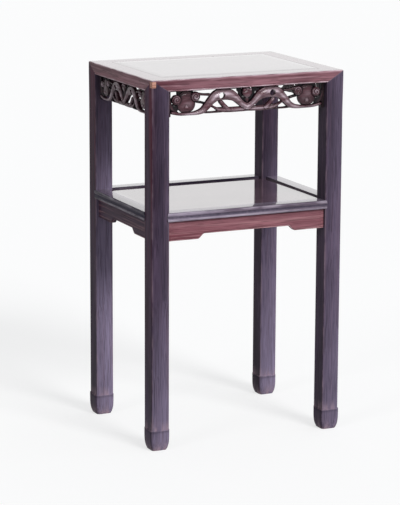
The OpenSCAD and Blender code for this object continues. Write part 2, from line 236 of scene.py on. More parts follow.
class Nodes:
    """A short way to add nodes to one shader tree."""

    def __init__(self, tree: bpy.types.NodeTree) -> None:
        """Keeps the tree."""
        self.tree = tree

    def add(self, kind: str, inputs: dict[str | int, object] | None = None,
            **settings: object) -> bpy.types.Node:
        """Adds a node, sets it up, and links or fills its inputs.

        Args:
            kind: The node's type, without the ShaderNode prefix.
            inputs: Values or output sockets by input name or number.
            settings: The node's own properties.

        Returns:
            The node.
        """
        node = self.tree.nodes.new(f"ShaderNode{kind}")
        for name, value in settings.items():
            setattr(node, name, value)
        for key, value in (inputs or {}).items():
            if isinstance(value, bpy.types.NodeSocket):
                self.tree.links.new(value, node.inputs[key])
            else:
                node.inputs[key].default_value = value
        return node

    def noise(self, vector: bpy.types.NodeSocket, scale: float, detail: float = 3.0) -> bpy.types.NodeSocket:
        """Adds a noise texture and gives its value."""
        return self.add("TexNoise", {"Vector": vector, "Scale": scale, "Detail": detail}).outputs["Fac"]

    def ramp(self, value: bpy.types.NodeSocket, low: float, high: float) -> bpy.types.NodeSocket:
        """Stretches the span from low to high to 0 to 1, smoothly, and gives the result."""
        node = self.add("MapRange", {"Value": value, "From Min": low, "From Max": high},
                        interpolation_type="SMOOTHSTEP")
        return node.outputs["Result"]

    def math(self, operation: str, *values: object) -> bpy.types.NodeSocket:
        """Adds a math node of two or three values and gives its result."""
        return self.add("Math", dict(enumerate(values)), operation=operation).outputs["Value"]

    def mix(self, share: object, first: object, second: object, blend: str = "MIX") -> bpy.types.NodeSocket:
        """Mixes two colours by a share and gives the colour."""
        inputs = {0: share, 6: first, 7: second}
        return self.add("Mix", inputs, data_type="RGBA", blend_type=blend).outputs[2]

    def stretch(self, vector: bpy.types.NodeSocket, scale: Triple) -> bpy.types.NodeSocket:
        """Scales coordinates and gives them."""
        return self.add("Mapping", {"Vector": vector, "Scale": scale}).outputs["Vector"]


def blank_material(name: str) -> tuple[bpy.types.Material, Nodes]:
    """Makes a material with an empty node tree, and gives both."""
    material = bpy.data.materials.new(name)
    material.use_nodes = True
    material.node_tree.nodes.clear()
    return material, Nodes(material.node_tree)


class Group:
    """A shader node group with named inputs and outputs."""

    def __init__(self, name: str, inputs: dict[str, str], outputs: dict[str, str]) -> None:
        """Makes the empty group.

        Args:
            name: The group's name.
            inputs: Socket types by input name.
            outputs: Socket types by output name.
        """
        self.tree = bpy.data.node_groups.new(name, "ShaderNodeTree")
        for direction, sockets in (("INPUT", inputs), ("OUTPUT", outputs)):
            for socket, kind in sockets.items():
                self.tree.interface.new_socket(socket, in_out=direction, socket_type=f"NodeSocket{kind}")
        self.nodes = Nodes(self.tree)
        self.given = self.tree.nodes.new("NodeGroupInput").outputs
        self.result = self.tree.nodes.new("NodeGroupOutput").inputs

    def give(self, name: str, value: bpy.types.NodeSocket) -> None:
        """Links a value to one of the group's outputs."""
        self.tree.links.new(value, self.result[name])

    def use(self, nodes: Nodes, inputs: dict[str | int, object]) -> bpy.types.NodeOutputs:
        """Places the group in a material and gives its outputs."""
        return nodes.add("Group", inputs, node_tree=self.tree).outputs


def hardwood_grain() -> Group:
    """Builds the grain of a dense dark hardwood, which runs along the first coordinate.

    Long noise gives broad figure, finer stretched noise gives streaks, and very fine noise gives pores. Each
    point's own value moves the colour up towards the warm colour and down towards painted shade and painted
    sheen.

    Returns:
        A group that gives the wood's colour, its pore height and its figure.
    """
    group = Group("hardwood_grain",
                  {"Grain": "Vector", "Dark": "Color", "Mid": "Color", "Light": "Color", "Warm": "Color",
                   "Cool": "Color", "Streaks": "Float"},
                  {"Color": "Color", "Pores": "Float", "Figure": "Float"})
    add, given = group.nodes, group.given
    broad = add.noise(add.stretch(given["Grain"], FIGURE_SCALE), 1.0)
    sway = add.math("MULTIPLY", broad, STREAK_SWAY)
    shift = add.add("CombineXYZ", {"Y": sway, "Z": sway}).outputs["Vector"]
    bent = add.add("VectorMath", {0: given["Grain"], 1: shift}, operation="ADD").outputs["Vector"]
    streak = add.noise(add.stretch(bent, STREAK_SCALE), 1.0, 4.0)
    fine = add.noise(add.stretch(bent, PORE_SCALE), 1.0)
    figure = add.ramp(broad, *FIGURE_SPAN)
    body = add.mix(figure, given["Dark"], given["Mid"])
    tone = add.add("Attribute", attribute_name="tone").outputs["Fac"]
    patchy = add.ramp(add.noise(add.stretch(given["Grain"], TONE_SCALE), 1.0), *TONE_SPAN)
    warmth = add.math("MULTIPLY", add.math("MAXIMUM", tone, 0.0), patchy)
    # Below 0 a point is moved towards the colour of painted shade and painted sheen.
    shade_and_sheen_share = add.math("MAXIMUM", add.math("MULTIPLY", tone, -1.0), 0.0)
    body = add.mix(shade_and_sheen_share, add.mix(warmth, body, given["Warm"]), given["Cool"])
    lines = add.math("MULTIPLY", add.ramp(streak, *STREAK_SPAN), given["Streaks"])
    body = add.mix(lines, body, given["Light"])
    pores = add.ramp(fine, *PORE_SPAN)
    shade = add.math("MULTIPLY_ADD", pores, 1 - PORE_SHADE, PORE_SHADE)
    dark_pores = add.add("CombineColor", {"Red": shade, "Green": shade, "Blue": shade})
    group.give("Color", add.mix(1.0, body, dark_pores.outputs["Color"], "MULTIPLY"))
    group.give("Pores", pores)
    group.give("Figure", figure)
    return group


def handled_wear() -> Group:
    """Builds worn edges and painted highlights, from the pieces' own value for them broken up by noise.

    Returns:
        A group that gives the colour with the worn edges and painted highlights on it, and these as a mask.
    """
    group = Group("handled_wear",
                  {"Color": "Color", "Grain": "Vector", "Rubbed": "Color", "Amount": "Float"},
                  {"Color": "Color", "Mask": "Float"})
    add, given = group.nodes, group.given
    wear = add.add("Attribute", attribute_name="wear").outputs["Fac"]
    patchy = add.ramp(add.noise(add.stretch(given["Grain"], WEAR_SCALE), 1.0, 4.0), *WEAR_SPAN)
    mask = add.math("MULTIPLY", add.math("MULTIPLY", wear, patchy), given["Amount"])
    group.give("Color", add.mix(mask, given["Color"], given["Rubbed"]))
    group.give("Mask", mask)
    return group


def painted_darkening() -> Group:
    """Builds painted darkening, mostly painted shade in recesses and low carving and some dark lines, from
    the pieces' own darkening value and noise.

    Returns:
        A group that gives the darkened colour, and the darkening as a mask.
    """
    group = Group("painted_darkening",
                  {"Color": "Color", "Grain": "Vector", "Darkening": "Color", "Amount": "Float"},
                  {"Color": "Color", "Mask": "Float"})
    add, given = group.nodes, group.given
    hollow = add.add("Attribute", attribute_name="hollow").outputs["Fac"]
    patchy = add.math("ADD", add.noise(given["Grain"], DARKENING_SCALE), DARKENING_EVEN)
    filled = add.math("MULTIPLY", add.math("MULTIPLY", hollow, patchy), given["Amount"])
    mask = add.math("MINIMUM", filled, 1.0)
    group.give("Color", add.mix(mask, given["Color"], given["Darkening"]))
    group.give("Mask", mask)
    return group


@dataclass(frozen=True)
class WoodFinish:
    """One finish of the stand's wood: its colours, with those for painted shade, sheen and highlight, its
    grain, polish and worn edges.
    """

    slot: str
    dark: Rgb
    mid: Rgb
    light: Rgb
    # The colour of worn edges, and on some finishes of painted highlights.
    rubbed: Rgb
    # The colour of the darkening, which mostly paints shade.
    darkening: Rgb
    warm: Rgb = srgb(96, 40, 48)
    # The colour of painted shade and painted sheen, which points below 0 move towards.
    cool: Rgb = srgb(96, 92, 112)
    streaks: float = 0.5
    wear: float = 0.8
    darkener: float = 0.6
    rough: float = 0.24
    coat: float = 0.0
    coat_rough: float = 0.06
    coat_ior: float = 1.8
    ior: float = 1.25
    relief: float = 0.12
    pore_depth: float = 0.2 * MM
    darkened_rough: float = 0.3
    figure_rough: float = 0.08
    polish_fade: float = 1.5

    def material(self, effects: "Effects") -> bpy.types.Material:
        """Makes the material: grain, then worn edges and painted highlights, then darkening that is mostly
        painted shade, under a lacquer coat.

        Args:
            effects: The shared node groups.

        Returns:
            The material.
        """
        material, add = blank_material(self.slot)
        grain = add.add("Attribute", attribute_name="grain").outputs["Vector"]
        wood = effects.grain.use(add, {"Grain": grain, "Dark": (*self.dark, 1), "Mid": (*self.mid, 1),
                                       "Light": (*self.light, 1), "Warm": (*self.warm, 1),
                                       "Cool": (*self.cool, 1), "Streaks": self.streaks})
        # Worn edges, and on some finishes painted highlights.
        worn = effects.wear.use(add, {"Color": wood["Color"], "Grain": grain, "Rubbed": (*self.rubbed, 1),
                                      "Amount": self.wear})
        darkened = effects.darkener.use(add, {"Color": worn["Color"], "Grain": grain, "Darkening": (*self.darkening, 1),
                                       "Amount": self.darkener})
        rough = add.math("MULTIPLY_ADD", darkened["Mask"], self.darkened_rough, self.rough)
        rough = add.math("ADD", rough, add.math("MULTIPLY", wood["Figure"], self.figure_rough))
        polish = add.add("Attribute", attribute_name="polish").outputs["Fac"]
        rough = add.math("MULTIPLY", rough, add.ramp(polish, self.polish_fade, 0.0))
        coat = add.math("MAXIMUM", polish, self.coat)
        bump = add.add("Bump", {"Height": wood["Pores"], "Strength": self.relief,
                                "Distance": self.pore_depth})
        shader = add.add("BsdfPrincipled", {
            "Base Color": darkened["Color"], "Roughness": rough, "Normal": bump.outputs["Normal"],
            "IOR": self.ior, "Coat Weight": coat, "Coat Roughness": self.coat_rough,
            "Coat IOR": self.coat_ior})
        add.add("OutputMaterial", {"Surface": shader.outputs["BSDF"]})
        return material


@dataclass(frozen=True)
class RawFinish:
    """The unpolished wood of the battens, which only show from below."""

    slot: str
    dark: Rgb
    mid: Rgb
    light: Rgb
    streaks: float = 0.6
    rough: float = 0.62
    relief: float = 0.3
    pore_depth: float = 0.3 * MM

    def material(self, effects: "Effects") -> bpy.types.Material:
        """Makes the material from the plain grain, along the object's own y axis.

        Args:
            effects: The shared node groups.

        Returns:
            The material.
        """
        material, add = blank_material(self.slot)
        place = add.add("TexCoord").outputs["Object"]
        turned = add.add("Mapping", {"Vector": place, "Rotation": (0.0, 0.0, math.pi / 2)}).outputs["Vector"]
        wood = effects.grain.use(add, {"Grain": turned, "Dark": (*self.dark, 1), "Mid": (*self.mid, 1),
                                       "Light": (*self.light, 1), "Streaks": self.streaks})
        bump = add.add("Bump", {"Height": wood["Pores"], "Strength": self.relief,
                                "Distance": self.pore_depth})
        shader = add.add("BsdfPrincipled", {"Base Color": wood["Color"], "Roughness": self.rough,
                                            "Normal": bump.outputs["Normal"]})
        add.add("OutputMaterial", {"Surface": shader.outputs["BSDF"]})
        return material


class Effects:
    """The node groups that the finishes share."""

    def __init__(self) -> None:
        """Builds each group once."""
        self.grain = hardwood_grain()
        self.wear = handled_wear()
        self.darkener = painted_darkening()


# The legs' pale bluish colour paints a reflection of the floor, and their light edge colour is partly a
# painted highlight.
LEG_WOOD = WoodFinish("leg_wood", dark=srgb(52, 43, 57), mid=srgb(84, 70, 90), light=srgb(112, 86, 100),
                      rubbed=srgb(170, 146, 158), darkening=srgb(34, 30, 46), warm=srgb(102, 46, 64),
                      cool=srgb(142, 130, 156), streaks=0.25, wear=0.6, darkener=1.0, rough=0.4, ior=1.1)
# The top rails' bluish colour paints the reflection on their polished tops, and their pale edge colour is
# partly a painted highlight.
TOP_WOOD = WoodFinish("top_wood", dark=srgb(90, 48, 58), mid=srgb(158, 112, 122), light=srgb(204, 162, 172),
                      rubbed=srgb(228, 206, 216), darkening=srgb(70, 50, 54), cool=srgb(132, 104, 118),
                      streaks=0.6, wear=1.0, rough=0.3, ior=1.15)
PANEL_WOOD = WoodFinish("panel_wood", dark=srgb(96, 70, 82), mid=srgb(130, 102, 116),
                        light=srgb(158, 130, 142), rubbed=srgb(200, 180, 190), darkening=srgb(60, 46, 56),
                        rough=0.3, relief=0.03, ior=2.1, coat_ior=2.0)
# The carving's pale edge colour paints highlights and reflections, and its near-black colour paints shade in
# the low parts.
CARVED_WOOD = WoodFinish("carved_wood", dark=srgb(66, 34, 42), mid=srgb(104, 62, 72),
                         light=srgb(136, 92, 102), rubbed=srgb(236, 216, 228), darkening=srgb(10, 5, 12),
                         streaks=0.3, wear=1.0, darkener=2.0, rough=0.26, coat=0.2, coat_rough=0.12,
                         coat_ior=1.6, ior=1.2)
# The shelf rails' near-black bluish colour paints shade on the side rails, and their pale edge colour is
# partly a painted highlight.
SHELF_WOOD = WoodFinish("shelf_wood", dark=srgb(112, 98, 114), mid=srgb(150, 138, 158),
                        light=srgb(176, 160, 174), rubbed=srgb(212, 202, 216), darkening=srgb(50, 46, 62),
                        cool=srgb(34, 30, 50), wear=0.5, darkener=0.8, rough=0.3, ior=1.15)
# The brackets' dark bluish colour paints shade on the side aprons, and their light edge colour is partly a
# painted highlight.
BRACKET_WOOD = WoodFinish("bracket_wood", dark=srgb(124, 70, 80), mid=srgb(154, 103, 112),
                          light=srgb(204, 156, 160), rubbed=srgb(216, 178, 182), darkening=srgb(60, 30, 40),
                          cool=srgb(58, 46, 68), streaks=0.4, wear=0.6, rough=0.34, ior=1.12)
# The patch's dark red colour paints the shadow under its lower edge and the dark line along its upper.
PATCH_WOOD = WoodFinish("patch_wood", dark=srgb(186, 128, 110), mid=srgb(216, 162, 144),
                        light=srgb(232, 188, 172), rubbed=srgb(232, 200, 186), darkening=srgb(110, 46, 50),
                        rough=0.4, ior=1.15)
INNER_WOOD = RawFinish("inner_wood", dark=srgb(82, 58, 50), mid=srgb(116, 86, 72), light=srgb(142, 110, 92))


@dataclass
class Shell:
    """A closed surface: its points, its faces, and what the finish reads at each point."""

    points: np.ndarray
    quads: np.ndarray
    tris: np.ndarray
    grain: np.ndarray
    marks: dict[str, np.ndarray]

    def outward(self) -> "Shell":
        """Turns every face round where the surface's signed volume is negative.

        Returns:
            The shell itself.
        """
        corners = np.concatenate([self.quads[:, [0, 1, 2]], self.quads[:, [0, 2, 3]], self.tris])
        first, second, third = (self.points[corners[:, column]] for column in range(3))
        if np.einsum("ij,ij->i", first, np.cross(second, third)).sum() < 0:
            self.quads, self.tris = self.quads[:, ::-1], self.tris[:, ::-1]
        return self

    def piece(self, node: str, finish: WoodFinish, materials: Materials) -> bpy.types.Object:
        """Puts the shell into a mesh object that stands for a CAD node.

        Args:
            node: The node that the piece replaces, which also names the piece.
            finish: The piece's finish.
            materials: Materials by slot.

        Returns:
            The new object, riding on the stand.
        """
        self.outward()
        mesh = bpy.data.meshes.new(f"{node}_shape")
        corners = np.concatenate([self.quads.ravel(), self.tris.ravel()]).astype(np.int32)
        counts = np.concatenate([np.full(len(self.quads), 4), np.full(len(self.tris), 3)]).astype(np.int32)
        mesh.vertices.add(len(self.points))
        mesh.loops.add(len(corners))
        mesh.polygons.add(len(counts))
        mesh.vertices.foreach_set("co", self.points.astype(np.float32).ravel())
        mesh.loops.foreach_set("vertex_index", corners)
        mesh.polygons.foreach_set("loop_start", (np.cumsum(counts) - counts).astype(np.int32))
        mesh.polygons.foreach_set("loop_total", counts)
        mesh.polygons.foreach_set("use_smooth", np.ones(len(counts), bool))
        layer = mesh.attributes.new("grain", "FLOAT_VECTOR", "POINT")
        layer.data.foreach_set("vector", self.grain.astype(np.float32).ravel())
        unmarked = np.zeros(len(self.points))
        for mark in MARKS:
            layer = mesh.attributes.new(mark, "FLOAT", "POINT")
            layer.data.foreach_set("value", self.marks.get(mark, unmarked).astype(np.float32))
        mesh.update()
        mesh.set_sharp_from_angle(angle=SHARP_ANGLE)
        mesh.materials.append(materials[finish.slot])
        piece = bpy.data.objects.new(f"{node}_dressed", mesh)
        bpy.context.scene.collection.objects.link(piece)
        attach(piece, BODY)
        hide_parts(node)
        LOG.info("%s: %d points, %d faces", piece.name, len(self.points), len(counts))
        return piece


def loft(rings: np.ndarray, ends: np.ndarray, grain: np.ndarray, end_grain: np.ndarray,
         **marks: np.ndarray) -> Shell:
    """Joins closed rings of points into a tube and closes each end with a fan to one point.

    Args:
        rings: Points, as rings by points round each ring by 3.
        ends: The first and the last fan's centre, as 2 by 3.
        grain: Grain coordinates of the rings, in the same shape.
        end_grain: Grain coordinates of the two centres.
        marks: What else the finish reads at the rings' points, in a shape that spreads over the rings.

    Returns:
        The closed shell.
    """
    count, around = rings.shape[:2]
    index = np.arange(count * around).reshape(count, around)
    after = np.roll(index, -1, axis=1)
    quads = np.stack([index[:-1], after[:-1], after[1:], index[1:]], axis=-1).reshape(-1, 4)
    first, last = np.full(around, count * around), np.full(around, count * around + 1)
    tris = np.concatenate([np.stack([first, after[0], index[0]], axis=-1),
                           np.stack([last, index[-1], after[-1]], axis=-1)])
    spread = {mark: np.broadcast_to(values, (count, around)) for mark, values in marks.items()}
    closed = {mark: np.concatenate([values.ravel(), values[[0, -1], 0]]) for mark, values in spread.items()}
    return Shell(np.concatenate([rings.reshape(-1, 3), ends]), quads, tris,
                 np.concatenate([grain.reshape(-1, 3), end_grain]), closed)


def edge_places(fine: float) -> np.ndarray:
    """Gives places along an edge from 0 up to 1, close together near both ends.

    Args:
        fine: Share at each end that gets the close places.

    Returns:
        The places, without the last.
    """
    near = fine * np.linspace(0, 1, 6)
    middle = np.linspace(fine, 1 - fine, 6)[1:-1]
    return np.concatenate([near, middle, 1 - near[::-1]])[:-1]


def rectangle(half_x: np.ndarray, half_y: np.ndarray, radius: np.ndarray, fine: float) -> np.ndarray:
    """Gives rounded rectangles about the origin, one for each entry of the half sizes.

    Args:
        half_x: Half sizes along x.
        half_y: Half sizes along y.
        radius: Corner radii.
        fine: Share of an edge, at each end, with close points.

    Returns:
        Points as rectangles by points round each by 2.
    """
    run = 2 * edge_places(fine) - 1
    one = np.ones_like(run)
    unit = np.concatenate([np.stack([run, -one], 1), np.stack([one, run], 1),
                           np.stack([-run, one], 1), np.stack([-one, -run], 1)])
    half = np.stack([half_x, half_y], axis=-1)[:, None, :]
    inner = np.maximum(half - radius[:, None, None], 0)
    return pull_in(unit[None] * half, -inner, inner, radius[:, None, None])


def stacked(plan: np.ndarray, level: np.ndarray) -> np.ndarray:
    """Sets each flat outline at its own height, as rings by points by 3."""
    height = np.broadcast_to(level[:, None, None], (*plan.shape[:2], 1))
    return np.concatenate([plan, height], axis=-1)


def carried(section: np.ndarray, along: np.ndarray) -> np.ndarray:
    """Sets a section of (inward, up) points at places along a side, as rings by points by 3."""
    return np.concatenate([along[..., None], np.broadcast_to(section, (*along.shape, 2))], axis=-1)


@dataclass(frozen=True)
class Leg:
    """One square leg: a shaped foot, a straight shaft and a mitred head."""

    sizes: StandSizes
    node: str
    to_right: int
    to_back: int
    seed: float
    face_tones: Triple
    side_tones: Triple
    foot_h: float = 46 * MM
    foot_inset: float = 3 * MM
    foot_swell: float = 4.5
    foot_radius: float = 7 * MM
    arris: float = 1.3 * MM
    head_arris: float = 2.6 * MM
    outer_arris: float = 4.5 * MM
    arris_run: float = 60 * MM
    shoulder: float = 0.9 * MM
    shoulder_gap: float = 0.3 * MM
    tip_share: float = 0.004
    corner_share: float = 0.16
    wear_reach: float = 1.6 * MM
    sole_wear: float = 2.4
    sole_reach: float = 9 * MM
    step_wear: float = 1.3
    line_drop: float = 4.5 * MM
    line_width: float = 1.3 * MM
    line_dark: float = 0.8
    tone_levels: Triple = (0.0, 0.45, 1.0)
    tone_drift: float = 0.28
    foot_steps: int = 18
    lip_steps: int = 6
    shaft_steps: int = 36
    head_steps: int = 14

    def stations(self) -> tuple[np.ndarray, np.ndarray, np.ndarray, np.ndarray]:
        """Works out each ring's height, half size, centre and corner radius, from the sole to the tip.

        The foot swells by its stand-out less a power of the height that is left to its shoulder. The head is
        a pyramid that leans on the outer corner, so its centre moves there as it shrinks.

        Returns:
            Heights, half sizes, centres measured from the outer corner, and corner radii.
        """
        sizes, half = self.sizes, self.sizes.leg / 2
        rise = np.linspace(0, 1, self.foot_steps)
        swell = sizes.foot_proud - (sizes.foot_proud + self.foot_inset) * (1 - rise) ** self.foot_swell
        foot_z = rise * (self.foot_h - self.shoulder)
        turn = np.linspace(0, math.pi / 2, self.lip_steps)[1:]
        lip_z = self.foot_h - self.shoulder + self.shoulder * np.sin(turn)
        lip = sizes.foot_proud * np.cos(turn)
        shaft_z = np.linspace(self.foot_h + self.shoulder_gap, sizes.rail_z, self.shaft_steps)
        share = np.linspace(1, self.tip_share, self.head_steps)[1:]
        head_z = sizes.height - share * (sizes.height - sizes.rail_z)
        level = np.concatenate([foot_z, lip_z, shaft_z, head_z])
        wide = np.concatenate([half + swell, half + lip, np.full_like(shaft_z, half), half * share])
        centre = np.concatenate([np.full(len(level) - len(share), half), half * share])
        radius = np.concatenate([np.full_like(foot_z, self.foot_radius),
                                 np.linspace(self.foot_radius, self.arris, len(lip_z)),
                                 np.full_like(shaft_z, self.arris), self.arris * share])
        return level, wide, centre, radius

    def tones(self, local: np.ndarray, off_centre: np.ndarray) -> np.ndarray:
        """Works out each point's value: its face's values by height, with a painted sheen growing to the
        right on front and back.

        Args:
            local: The rings' points, measured from the leg's outer corner.
            off_centre: How far each point lies from its ring's centre along x and y.

        Returns:
            The values, one for each point: below 0 a painted reflection of the floor, above 0 the wood's
                warm red.
        """
        share = local[..., 2] / self.sizes.height
        # Painted reflection of the floor, strongest low on the faces.
        face_tone = np.interp(share, self.tone_levels, self.face_tones)
        side_tone = np.interp(share, self.tone_levels, self.side_tones)
        # Painted sheen, lighter to the right on the fronts and backs.
        rightward = 0.5 + self.to_right * (0.5 - local[..., 0] / self.sizes.leg)
        sideways_sheen = self.tone_drift * (0.5 - rightward)
        return np.where(off_centre[..., 0] > off_centre[..., 1], side_tone, face_tone + sideways_sheen)

    def build(self, materials: Materials) -> bpy.types.Object:
        """Stacks rounded squares up the leg, mirrors them to its corner and rounds the stand's outer edge.

        Args:
            materials: Materials by slot.

        Returns:
            The leg.
        """
        sizes = self.sizes
        level, wide, centre, radius = self.stations()
        plan = rectangle(wide, wide, radius, self.corner_share) + centre[:, None, None]
        off_centre = np.abs(plan - centre[:, None, None])
        local = stacked(plan, level)
        up = local[..., 2]
        ends = np.array([[sizes.leg / 2, sizes.leg / 2, 0.0], [0.0, 0.0, sizes.height]])
        # Worn arrises, partly a painted edge highlight, a worn sole, and a light line along the foot's step.
        wear = np.exp((off_centre.min(axis=-1) - wide[:, None]) / self.wear_reach)
        wear = np.maximum(wear, self.sole_wear * np.exp(-up / self.sole_reach))
        wear = np.maximum(wear, self.step_wear * np.exp(-np.abs(up - self.foot_h) / self.wear_reach))
        # A dark line painted round the foot a little below its step.
        under_step = self.foot_h - self.line_drop - up
        hollow = self.line_dark * np.exp(-(under_step / self.line_width) ** 2)
        shape = loft(local, ends, local[..., [2, 0, 1]] + self.seed, ends[:, [2, 0, 1]] + self.seed,
                     wear=wear, tone=self.tones(local, off_centre), hollow=hollow)
        corner = np.array([self.to_right * sizes.half_w, self.to_back * sizes.half_d, 0.0])
        turn = np.array([-self.to_right, -self.to_back, 1.0])
        stood = corner + shape.points * turn
        below = np.clip((sizes.rail_z - shape.points[:, 2]) / self.arris_run, 0, 1)
        radius = self.head_arris + (self.outer_arris - self.head_arris) * below
        on_shaft = shape.points[:, 2:] > self.foot_h
        shape.points = np.where(on_shaft, sizes.soften(stood, radius), stood)
        return shape.piece(self.node, LEG_WOOD, materials)


@dataclass(frozen=True)
class TopRail:
    """One mitred rail of the top frame, with a fine bead along its lower edge."""

    sizes: StandSizes
    side: Side
    seed: float
    bead_r: float = 1.5 * MM
    quirk: float = 0.9 * MM
    quirk_depth: float = 0.9 * MM
    quirk_ease: float = 0.1 * MM
    face_ease: Triple = (0.25 * MM, 0.1 * MM, 0.4 * MM)
    face_levels: tuple[float, float] = (8 * MM, 14 * MM)
    outer_arris: float = 2.6 * MM
    inner_arris: float = 0.5 * MM
    bead_wear: float = 0.9
    polish_depth: float = 0.3 * MM
    bead_steps: int = 11
    arris_steps: int = 8
    steps: int = 41

    def section(self) -> tuple[np.ndarray, np.ndarray]:
        """Draws the section as (inward, up): bead, quirk, face, top, inner face and underside.

        Returns:
            The section's points and the worn edges, partly painted highlight, at each.
        """
        sizes, r = self.sizes, self.bead_r
        turn = np.linspace(-math.pi / 2, -1.5 * math.pi, self.bead_steps)
        bead = np.stack([r + r * np.cos(turn), sizes.rail_z + r + r * np.sin(turn)], 1)
        quirk_z = sizes.rail_z + 2 * r
        face_z = quirk_z + self.quirk
        in_face, low_ease, high_ease = self.face_ease
        quirk = np.array([[self.quirk_depth, quirk_z + self.quirk_ease], [self.quirk_depth, face_z],
                          [in_face, face_z + low_ease], [0.0, face_z + high_ease]])
        worn = np.linspace(0, 1, self.arris_steps)
        near = self.outer_arris * worn
        rise = np.concatenate([sizes.rail_z + np.array(self.face_levels), sizes.height - near[::-1]])
        face = np.stack([np.zeros_like(rise), rise], 1)
        over = np.concatenate([near[1:], np.linspace(self.outer_arris, sizes.leg - self.inner_arris, 6)[1:]])
        top = np.stack([over, np.full_like(over, sizes.height)], 1)
        inner = np.array([[sizes.leg, sizes.height - self.inner_arris], [sizes.leg, sizes.rail_z]])
        points = np.concatenate([bead, quirk, face, top, inner])
        # Worn bead and outer arris of the top, partly painted highlight along them.
        bead_wear = self.bead_wear * np.sin(np.linspace(0, math.pi, self.bead_steps))
        wear = np.concatenate([bead_wear, np.zeros(len(quirk) + len(self.face_levels)), worn,
                               np.linspace(1, 0, self.arris_steps - 1)])
        wear = np.pad(wear, (0, len(points) - len(wear)))
        return points, wear

    def build(self, materials: Materials) -> bpy.types.Object:
        """Carries the section along the rail, each point from one three-way mitre to the other.

        A mitre's place along the rail is the leg's width times the larger of the share gone inwards and the
        share left to the top.

        Args:
            materials: Materials by slot.

        Returns:
            The rail.
        """
        sizes = self.sizes
        section, wear = self.section()
        half = sizes.half_length(self.side)
        rail_h = sizes.height - sizes.rail_z
        mitre = np.maximum(section[:, 0], (sizes.height - section[:, 1]) * sizes.leg / rail_h)
        along = np.linspace(-1, 1, self.steps)[:, None] * (half - mitre)[None, :]
        local = carried(section, along)
        reach = half - sizes.leg / 2
        ends = np.array([[-reach, sizes.leg / 2, sizes.height - rail_h / 2],
                         [reach, sizes.leg / 2, sizes.height - rail_h / 2]])
        polish = section[:, 1] > sizes.height - self.polish_depth
        # The polished tops take the colour of painted reflection.
        shape = loft(local, ends, local + self.seed, ends + self.seed, wear=wear,
                     polish=polish.astype(float), tone=SHADE_AND_SHEEN_TONE * polish)
        shape.points = sizes.soften(sizes.place(shape.points, self.side), self.outer_arris)
        return shape.piece(f"top_{self.side.word}_rail", TOP_WOOD, materials)


@dataclass(frozen=True)
class Panel:
    """A flat panel let into the rails round it, with a tongue below its face."""

    sizes: StandSizes
    node: str
    rail: float
    seed: float
    gap: float = 0.3 * MM
    tongue: float = 4 * MM
    ease: float = 0.5 * MM
    ledge: float = 2 * MM
    corner_r: float = 0.4 * MM
    corner_share: float = 0.02
    under_inset: float = 50 * MM
    face_insets: tuple[float, float] = (20 * MM, 80 * MM)
    edge_width: float = 1 * MM
    edge_dark: float = 0.5
    ease_steps: int = 6

    def plan(self, inset: np.ndarray) -> np.ndarray:
        """Draws the panel's outline inside the rails, notched round legs that are wider than the rails.

        Args:
            inset: How far each outline lies inside the face's own, below 0 for the tongue.

        Returns:
            Outlines by points round each by 2.
        """
        sizes = self.sizes
        clear = np.array([sizes.half_w, sizes.half_d]) - self.gap
        far = clear - self.rail - inset[:, None]
        if np.isclose(self.rail, sizes.leg):
            return rectangle(far[:, 0], far[:, 1], np.full_like(inset, self.corner_r), self.corner_share)
        near = clear - sizes.leg - np.maximum(inset, 0)[:, None]
        quarter = [np.stack([near[:, 0], -far[:, 1]], -1), np.stack([near[:, 0], -near[:, 1]], -1),
                   np.stack([far[:, 0], -near[:, 1]], -1)]
        half = [*quarter, *(corner * (1, -1) for corner in reversed(quarter))]
        return np.stack([*half, *(-corner for corner in half)], axis=1)

    def build(self, materials: Materials) -> bpy.types.Object:
        """Stacks outlines from the underside, out round the tongue and up over the eased face.

        Args:
            materials: Materials by slot.

        Returns:
            The panel.
        """
        low, high = node_box(self.node)
        tongue_inset = self.sizes.half_w - self.rail - self.gap - high[0]
        tongue_z, ledge_z = low[2] + self.tongue, high[2] - self.ease - self.ledge
        turn = np.linspace(0, math.pi / 2, self.ease_steps)
        inset = np.concatenate([[self.under_inset, 0.0, tongue_inset, tongue_inset, 0.0],
                                self.ease * (1 - np.cos(turn)), self.face_insets])
        level = np.concatenate([[low[2], low[2], low[2], tongue_z, min(tongue_z, ledge_z)],
                                high[2] - self.ease * (1 - np.sin(turn)), [high[2], high[2]]])
        local = stacked(self.plan(inset), level)
        ends = np.array([[0.0, 0.0, low[2]], [0.0, 0.0, high[2]]])
        # Darkens the eased edge where the panel meets the rails.
        darkening = self.edge_dark * ((level > ledge_z) & (inset < self.edge_width))
        shape = loft(local, ends, local + self.seed, ends + self.seed, hollow=darkening[:, None],
                     polish=np.ones((1, 1)))
        return shape.piece(self.node, PANEL_WOOD, materials)


